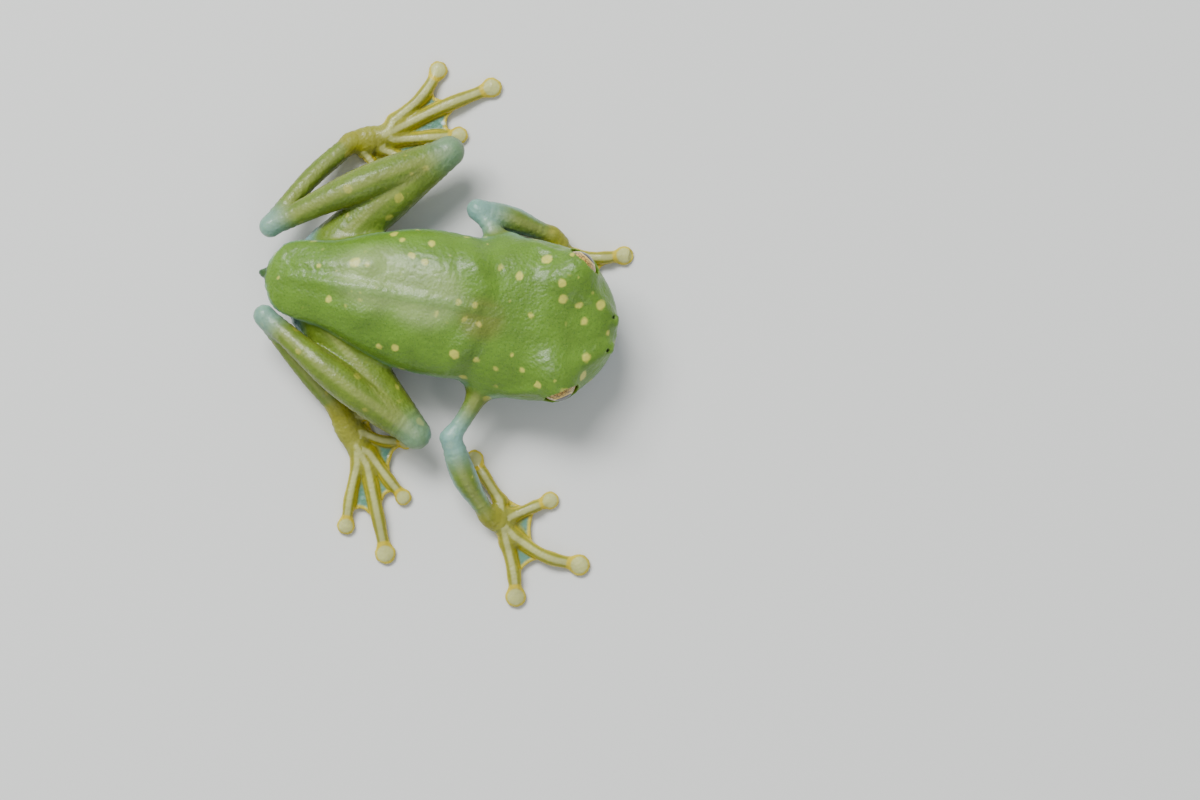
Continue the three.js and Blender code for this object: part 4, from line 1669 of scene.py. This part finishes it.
    def glint_dots(self, belly: np.ndarray) -> np.ndarray:
        """Marks where the granules' tips get painted highlights: the belly's left side and the left thigh.

        Args:
            belly: Where the belly and throat are.

        Returns:
            A number from 0 to 1 for each point.
        """
        side = self.glint_right + (1 - self.glint_right) * ease(self.points[:, 0], *self.glint_left)
        length = ease(self.forward, *self.glint_front_span) * ease(self.forward, *self.glint_rear_span)
        trunk = belly * side * length
        left = next(leg for leg in self.frog.legs if leg.side is Side.LEFT)
        thigh = self.near([left.routes()["thigh"]], 0.0, self.thigh_glint_soft)
        thigh = self.thigh_glint * thigh * ease(self.facing_up, *self.thigh_glint_under)
        return np.maximum(trunk, thigh)

    def pad_masks(self) -> tuple[np.ndarray, np.ndarray]:
        """Marks the digits' pads.

        Returns:
            The pale middle of each pad, and the bright ring round it.
        """
        pads, rims = np.zeros(len(self.points)), np.zeros(len(self.points))
        for digit in (digit for base in self.bases for digit in base.digits):
            away = np.linalg.norm((self.points - digit.pad_centre())[:, :2], axis=1) / digit.pad
            pads = np.maximum(pads, ease(away, *self.pad_fade))
            ring = ease(away, *self.pad_rim_outer) * ease(away, *self.pad_rim_inner)
            rims = np.maximum(rims, ring)
        return pads, rims

    def web_rims(self) -> np.ndarray:
        """The bright free edges of all the webs."""
        edges = [edge for base in self.bases for edge in base.edges()]
        return self.near(edges, 0.0, self.web_rim_soft)

    def bones(self, routes: Sequence[Route], half: float) -> np.ndarray:
        """Marks the pale bones inside limbs or digits, as seen from above and below.

        Args:
            routes: The lines that the bones follow.
            half: Half of a bone's width.

        Returns:
            A number from 0 to 1 for each point.
        """
        plan = self.points * np.array([1.0, 1.0, 0.0])
        mask = np.zeros(len(self.points))
        for route in routes:
            inside = self.about(route, float(route.radii.max()) * self.bone_box)
            if inside.any():
                distance, _ = route.flattened().nearest(plan[inside])
                here = ease(distance, half * self.bone_fade[0], half * self.bone_fade[1])
                mask[inside] = np.maximum(mask[inside], here)
        return mask * self.limbs * ease(np.abs(self.facing_up), *self.bone_tilt)

    def nostrils(self) -> np.ndarray:
        """Marks the painted shade in and round the two nostrils.

        Returns:
            A number from 0 to 1 for each point.
        """
        middles = [self.frog.nostril_shade.centre_on(side) for side in Side]
        away = [np.linalg.norm(self.points - middle, axis=1) for middle in middles]
        return ease(np.minimum(*away), *self.nostril_shade_fade)

    def blue_joints(self) -> np.ndarray:
        """Marks the painted pale blue sheen over elbows, knees, heels and the forearms' outer edges.

        Returns:
            A number from 0 to 1 for each point.
        """
        mask = np.zeros(len(self.points))
        joints = [(leg.knee, *self.knee_sheen) for leg in self.frog.legs]
        joints += [(leg.heel, *self.heel_sheen) for leg in self.frog.legs]
        joints += [(arm.elbow, *self.elbow_sheen) for arm in self.frog.arms]
        for place, reach, strength in joints:
            away = np.linalg.norm(self.points - frog_space([place])[0], axis=1)
            mask = np.maximum(mask, strength * ease(away, reach, 0.0))
        forearms = [arm.routes()["forearm"] for arm in self.frog.arms]
        side = self.forearm_sheen * ease(np.abs(self.facing_up), *self.forearm_tilt)
        mask = np.maximum(mask, side * self.near(forearms, 0.0, self.forearm_soft))
        return mask * self.limbs * ease(self.height, *self.sheen_heights)

    def shown(self, shapes: Sequence[Patch | Streak], where: np.ndarray) -> dict[Mark, np.ndarray]:
        """Marks what shows through the skin.

        Args:
            shapes: Ovals and lines, some of which share a mark.
            where: The part of the skin that they show through.

        Returns:
            An array for each mark among them.
        """
        masks: dict[Mark, np.ndarray] = {}
        for shape in shapes:
            here = shape.show(self.points) * where
            masks[shape.mark] = np.maximum(masks.get(shape.mark, 0.0), here)
        return masks


@dataclass
class Skin:
    """The one skin over all the flesh, with its marks."""

    frog: Frog
    axes: BodyAxes
    finish: MoistSkin = MoistSkin()
    bead_edge: float = 0.62
    bead_height: float = 0.022
    grainy_height: float = 0.045
    viscera_height: float = 0.03
    digit_smoothness: float = 0.6
    crease_spacing: float = 0.42
    crease_height: float = 0.018
    crease_fade: float = 0.6
    flat_heights: Fade = (0.12, 0.02)

    def build(self) -> bpy.types.Object:
        """Draws the skin, roughens it, marks it and dresses it.

        Returns:
            The skin, in its place.
        """
        points, quads = self.frog.flesh(self.axes).skin()
        mesh = bpy.data.meshes.new("skin")
        mesh.from_pydata(self.axes.in_metres(points).tolist(), [], quads.tolist())
        mesh.validate()
        mesh.shade_smooth()
        normals = np.empty(len(mesh.vertices) * 3, np.float32)
        mesh.vertex_normals.foreach_get("vector", normals)
        normals = normals.reshape(-1, 3)
        marks = SkinMarks(self.frog, points, normals).masks()
        marks[Mark.BEAD] = self.beads(points)
        # Painted highlights on the tips of the granules, where the glint dots lie.
        marks[Mark.BEAD_GLINT] = marks[Mark.BEAD] * marks[Mark.GLINT_DOTS]
        # Painted shade in the gaps between the granules over the viscera.
        marks[Mark.GRANULE_GAP_SHADE] = (1 - marks[Mark.BEAD]) * marks[Mark.VISCERA]
        raised = points + normals * self.relief(points, marks)[:, None]
        mesh.vertices.foreach_set("co", self.axes.in_metres(raised).astype(np.float32).ravel())
        for mark, values in marks.items():
            layer = mesh.attributes.new(mark.value, "FLOAT", "POINT")
            layer.data.foreach_set("value", values.astype(np.float32))
        mesh.materials.append(self.finish.build())
        skin = bpy.data.objects.new("skin", mesh)
        bpy.context.scene.collection.objects.link(skin)
        return skin

    def beads(self, points: np.ndarray) -> np.ndarray:
        """Packs round granules side by side.

        Args:
            points: Rows of points in frog space.

        Returns:
            1 at a granule's top and 0 in the gaps, for each point.
        """
        spacing = self.finish.granule_mm
        near = np.array([noise.voronoi(Vector(p / spacing))[0][0] for p in points])
        return np.sqrt(np.clip(1 - (near / self.bead_edge) ** 2, 0.0, 1.0))

    def relief(self, points: np.ndarray, marks: dict[Mark, np.ndarray]) -> np.ndarray:
        """Raises warty granules below, a finer grain above, and creases round the joints.

        Args:
            points: Rows of points in frog space.
            marks: The marks on them.

        Returns:
            How far each point stands up.
        """
        height = self.bead_height + self.grainy_height * marks[Mark.GRAINY]
        height = height + self.viscera_height * marks[Mark.VISCERA]
        raised = (marks[Mark.BEAD] - 0.5) * height * (1 - self.digit_smoothness * marks[Mark.DIGIT])
        creased = np.zeros(len(points))
        for place, reach in self.frog.bends():
            away = np.linalg.norm(points - frog_space([place])[0], axis=1)
            wave = np.cos(away * 2 * math.pi / self.crease_spacing)
            creased += wave * ease(np.abs(away - reach), reach * self.crease_fade, 0.0)
        grounded = 1 - ease(points[:, 2], *self.flat_heights)
        return (raised + self.crease_height * creased) * grounded


@dataclass(frozen=True)
class WetIris:
    """A living eye: a pale gold iris netted with dark lines, under a wet clear cornea."""

    # The cornea is a clear coat as smooth as water, which gives one small sharp gleam. The iris under it
    # has a metallic look in life, but it is fine threads of tissue, so it is coloured and not metal.
    roughness: float = 0.3
    ior: float = 1.38
    cornea: float = 1.0
    cornea_roughness: float = 0.02
    gold: str = "#C9A24A"
    net: str = "#3A2A12"
    pupil: str = "#050505"
    ring: str = "#E8C866"
    white: str = "#55603A"
    iris_mm: float = 1.22
    iris_rim_mm: float = 0.14
    white_edge_mm: float = 0.08
    pupil_long_mm: float = 0.62
    pupil_high_mm: float = 0.42
    pupil_edge: Fade = (1.06, 0.96)
    ring_edge: Fade = (1.3, 1.08)
    net_mm: float = 0.22
    net_fade: Fade = (0.16, 0.03)
    net_strength: float = 0.75

    def build(self) -> bpy.types.Material:
        """Makes the eye's material, read off each point's place round the gaze.

        Returns:
            The material.
        """
        material = bpy.data.materials.new("wet_cornea_over_iris")
        material.use_nodes = True
        tree = material.node_tree
        tree.nodes.clear()
        mark = add_node(tree, "ShaderNodeAttribute", {"attribute_name": IRIS_PLACE})
        spot = mark.outputs["Vector"]
        radius = self.length(tree, spot, (1.0, 1.0))
        pupil = self.length(tree, spot, (1 / self.pupil_long_mm, 1 / self.pupil_high_mm))
        net = add_node(
            tree, "ShaderNodeTexVoronoi", {"feature": "DISTANCE_TO_EDGE"},
            Vector=spot, Scale=1 / self.net_mm, Randomness=1.0,
        )
        lines = add_node(
            tree, "ShaderNodeMapRange", {"interpolation_type": "SMOOTHSTEP"},
            Value=net.outputs["Distance"], From_Min=self.net_fade[0], From_Max=self.net_fade[1],
            To_Max=self.net_strength,
        )
        colour = add_node(
            tree, "ShaderNodeMix", {"data_type": "RGBA"},
            _0=lines.outputs["Result"], _6=linear(self.gold), _7=linear(self.net),
        ).outputs[2]
        for value, (start, end), tint in (
            (pupil, self.ring_edge, self.ring),
            (pupil, self.pupil_edge, self.pupil),
            (radius, (self.iris_mm - self.iris_rim_mm, self.iris_mm), self.net),
            (radius, (self.iris_mm, self.iris_mm + self.white_edge_mm), self.white),
        ):
            level = add_node(
                tree, "ShaderNodeMapRange", {"interpolation_type": "SMOOTHSTEP"},
                Value=value, From_Min=start, From_Max=end,
            )
            colour = add_node(
                tree, "ShaderNodeMix", {"data_type": "RGBA"},
                _0=level.outputs["Result"], _6=colour, _7=linear(tint),
            ).outputs[2]
        shader = add_node(
            tree, "ShaderNodeBsdfPrincipled", Base_Color=colour, Roughness=self.roughness,
            IOR=self.ior, Coat_Weight=self.cornea, Coat_Roughness=self.cornea_roughness,
            Coat_IOR=self.ior,
        )
        add_node(tree, "ShaderNodeOutputMaterial", Surface=shader.outputs[0])
        return material

    def length(
        self, tree: bpy.types.NodeTree, spot: bpy.types.NodeSocket, scales: tuple[float, float]
    ) -> bpy.types.NodeSocket:
        """Measures the distance from the gaze's axis.

        Args:
            tree: The material's node tree.
            spot: The socket of each point's place round the gaze.
            scales: How much the distance is stretched across and up.

        Returns:
            The socket of the distance.
        """
        stretched = add_node(
            tree, "ShaderNodeVectorMath", {"operation": "MULTIPLY"}, _0=spot, _1=(*scales, 0.0)
        )
        return add_node(
            tree, "ShaderNodeVectorMath", {"operation": "LENGTH"}, _0=stretched.outputs[0]
        ).outputs["Value"]


@dataclass
class Eyeball:
    """A smooth eyeball with a slightly bulging cornea."""

    socket: EyeSet
    axes: BodyAxes
    finish: WetIris = WetIris()
    turns: int = 64
    rings: int = 40
    bulge: float = 0.05
    bulge_edge: Fade = (1.15, 0.2)

    def build(self) -> bpy.types.Object:
        """Makes the ball in its place, and marks each point's place round the gaze.

        Returns:
            The ball.
        """
        angle = np.linspace(0, 2 * math.pi, self.turns, endpoint=False)
        tilt = np.linspace(0, math.pi, self.rings + 1)[1:-1]
        ring = np.stack([
            np.outer(np.sin(tilt), np.cos(angle)).ravel(),
            np.outer(np.sin(tilt), np.sin(angle)).ravel(),
            np.outer(np.cos(tilt), np.ones(self.turns)).ravel(),
        ], axis=1)
        local = np.vstack([[0, 0, 1.0], ring, [0, 0, -1.0]]) * self.socket.radius
        off_axis = np.hypot(local[:, 0], local[:, 1])
        shaped = local.copy()
        shaped[:, 2] *= 1 + self.bulge * ease(off_axis, *self.bulge_edge) * (local[:, 2] > 0)
        points = shaped @ self.socket.axes() + self.socket.centre()
        mesh = bpy.data.meshes.new(f"eyeball_{self.socket.side.word}")
        mesh.from_pydata(self.axes.in_metres(points).tolist(), [], self.faces())
        mesh.shade_smooth()
        layer = mesh.attributes.new(IRIS_PLACE, "FLOAT_VECTOR", "POINT")
        layer.data.foreach_set("vector", local.astype(np.float32).ravel())
        mesh.materials.append(self.finish.build())
        ball = bpy.data.objects.new(mesh.name, mesh)
        bpy.context.scene.collection.objects.link(ball)
        return ball

    def faces(self) -> list[tuple[int, ...]]:
        """Joins the ball's points into faces, turned outward whichever way its axes turn.

        Returns:
            The point numbers of each face.
        """
        n, last = self.turns, 1 + self.turns * (self.rings - 1)
        cap = [(0, 1 + i, 1 + (i + 1) % n) for i in range(n)]
        foot = last - n
        base = [(last, foot + (i + 1) % n, foot + i) for i in range(n)]
        side = [
            (above + i, above + n + i, above + n + (i + 1) % n, above + (i + 1) % n)
            for above in range(1, foot, n)
            for i in range(n)
        ]
        faces = cap + side + base
        if np.linalg.det(self.socket.axes()) < 0:
            faces = [face[::-1] for face in faces]
        return faces


@dataclass(frozen=True)
class MattPaper:
    """Uncoated paper on a roll, pale grey."""

    # Pressed fibres with no gloss, which take the frog's soft shadow without a gleam of their own.
    colour: str = "#DEDFDC"
    roughness: float = 0.9

    def build(self) -> bpy.types.Material:
        """Makes the floor's material.

        Returns:
            The material.
        """
        material = bpy.data.materials.new("matt_paper")
        material.use_nodes = True
        shader = material.node_tree.nodes["Principled BSDF"]
        shader.inputs["Base Color"].default_value = linear(self.colour)
        shader.inputs["Roughness"].default_value = self.roughness
        return material


@dataclass(frozen=True)
class SunLamp:
    """A lamp as far away as the sun, with the metres that give its direction."""

    name: str
    place: Place
    power: float


@dataclass(frozen=True)
class Studio:
    """A pale floor, soft light and a long lens that looks straight down."""

    lens: float = 100.0
    sensor: float = 36.0
    near_clip: float = 0.01
    image_width: float = 1200.0
    image_height: float = 800.0
    pixels_per_mm: float = 14.18
    frog_middle_px: tuple[float, float] = (438.0, 326.7)
    head_turn_deg: float = 10.07
    focus_height_mm: float = 2.0
    floor_half: float = 1.5
    floor_finish: MattPaper = MattPaper()
    suns: tuple[SunLamp, ...] = (
        SunLamp("key", (0.5, 0.28, 0.75), 2.5),
        SunLamp("fill", (-0.6, -0.3, 0.5), 0.35),
    )
    sun_softness_deg: float = 22.0
    gleam_place: Place = (0.13, 0.18, 0.24)
    gleam_size: float = 0.1
    gleam_power: float = 0.7
    room_colour: str = "#E8ECEF"
    room_power: float = 0.58

    def build(self) -> None:
        """Makes the floor, the lights and the camera."""
        self.floor()
        self.lights()
        self.camera()

    def floor(self) -> None:
        """Lays a wide matt floor."""
        half = self.floor_half
        mesh = bpy.data.meshes.new("floor")
        corners = [(-half, -half, 0), (half, -half, 0), (half, half, 0), (-half, half, 0)]
        mesh.from_pydata(corners, [], [(0, 1, 2, 3)])
        mesh.materials.append(self.floor_finish.build())
        floor = bpy.data.objects.new("floor", mesh)
        bpy.context.scene.collection.objects.link(floor)
        floor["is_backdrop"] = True

    def lights(self) -> None:
        """Hangs a broad soft key, a weak fill and a lamp for the wet gleam, in a pale room."""
        for sun in self.suns:
            lamp = bpy.data.lights.new(sun.name, "SUN")
            lamp.energy = sun.power
            lamp.angle = math.radians(self.sun_softness_deg)
            self.hang(lamp, sun.place)
        gleam = bpy.data.lights.new("gleam", "AREA")
        gleam.size = self.gleam_size
        gleam.energy = self.gleam_power
        self.hang(gleam, self.gleam_place)
        world = bpy.data.worlds.new("room")
        world.use_nodes = True
        sky = world.node_tree.nodes["Background"]
        sky.inputs["Color"].default_value = linear(self.room_colour)
        sky.inputs["Strength"].default_value = self.room_power
        bpy.context.scene.world = world

    def hang(self, lamp: bpy.types.Light, place: Place) -> None:
        """Hangs a lamp, turned to the frog.

        Args:
            lamp: The lamp.
            place: Where it hangs, in the model's metres.
        """
        obj = bpy.data.objects.new(lamp.name, lamp)
        obj.location = place
        obj.rotation_mode = "QUATERNION"
        obj.rotation_quaternion = (-Vector(place)).to_track_quat("-Z", "Y")
        bpy.context.scene.collection.objects.link(obj)

    def camera(self) -> None:
        """Puts the frog where the photograph has it, seen square to its body."""
        low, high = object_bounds()
        middle = (low + high) / 2
        turn = math.radians(self.head_turn_deg)
        right = Vector((math.sin(turn), -math.cos(turn), 0.0))
        up = Vector((math.cos(turn), math.sin(turn), 0.0))
        back = Vector((0.0, 0.0, 1.0))
        view_width = self.image_width / self.pixels_per_mm * MM
        metre_px = view_width / self.image_width
        off_right = (self.frog_middle_px[0] - self.image_width / 2) * metre_px
        off_up = (self.image_height / 2 - self.frog_middle_px[1]) * metre_px
        focus = Vector((middle.x, middle.y, self.focus_height_mm * MM))
        aim = focus - right * off_right - up * off_up
        camera = bpy.data.cameras.new("camera")
        camera.lens = self.lens
        camera.sensor_width = self.sensor
        camera.clip_start = self.near_clip
        obj = bpy.data.objects.new("camera", camera)
        turned = Matrix((right, up, back)).transposed().to_4x4()
        distance = view_width * self.lens / self.sensor
        obj.matrix_world = Matrix.Translation(aim + back * distance) @ turned
        bpy.context.scene.collection.objects.link(obj)
        bpy.context.scene.camera = obj


def flesh_nodes() -> list[str]:
    """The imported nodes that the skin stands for: all but the eyes."""
    return [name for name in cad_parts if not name.startswith("eye_")]


def main() -> None:
    """Builds the studio and the frog, and logs the camera's height and the points of the skin and the
    eyeballs.
    """
    logging.basicConfig(level=logging.INFO, format="%(name)s: %(message)s")
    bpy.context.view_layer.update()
    axes = BodyAxes.from_nodes()
    frog = Frog()
    Studio().build()
    log.info("studio: camera %.0f mm above the floor", bpy.context.scene.camera.matrix_world[2][3] / MM)
    skin = Skin(frog, axes).build()
    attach(skin, "root")
    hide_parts(*flesh_nodes())
    log.info("%s: %d points", skin.name, len(skin.data.vertices))
    for socket in frog.eyes:
        ball = Eyeball(socket, axes).build()
        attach(ball, "root")
        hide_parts(f"eye_{socket.side.word}")
        log.info("%s: %d points", ball.name, len(ball.data.vertices))


if __name__ == "__main__":
    main()
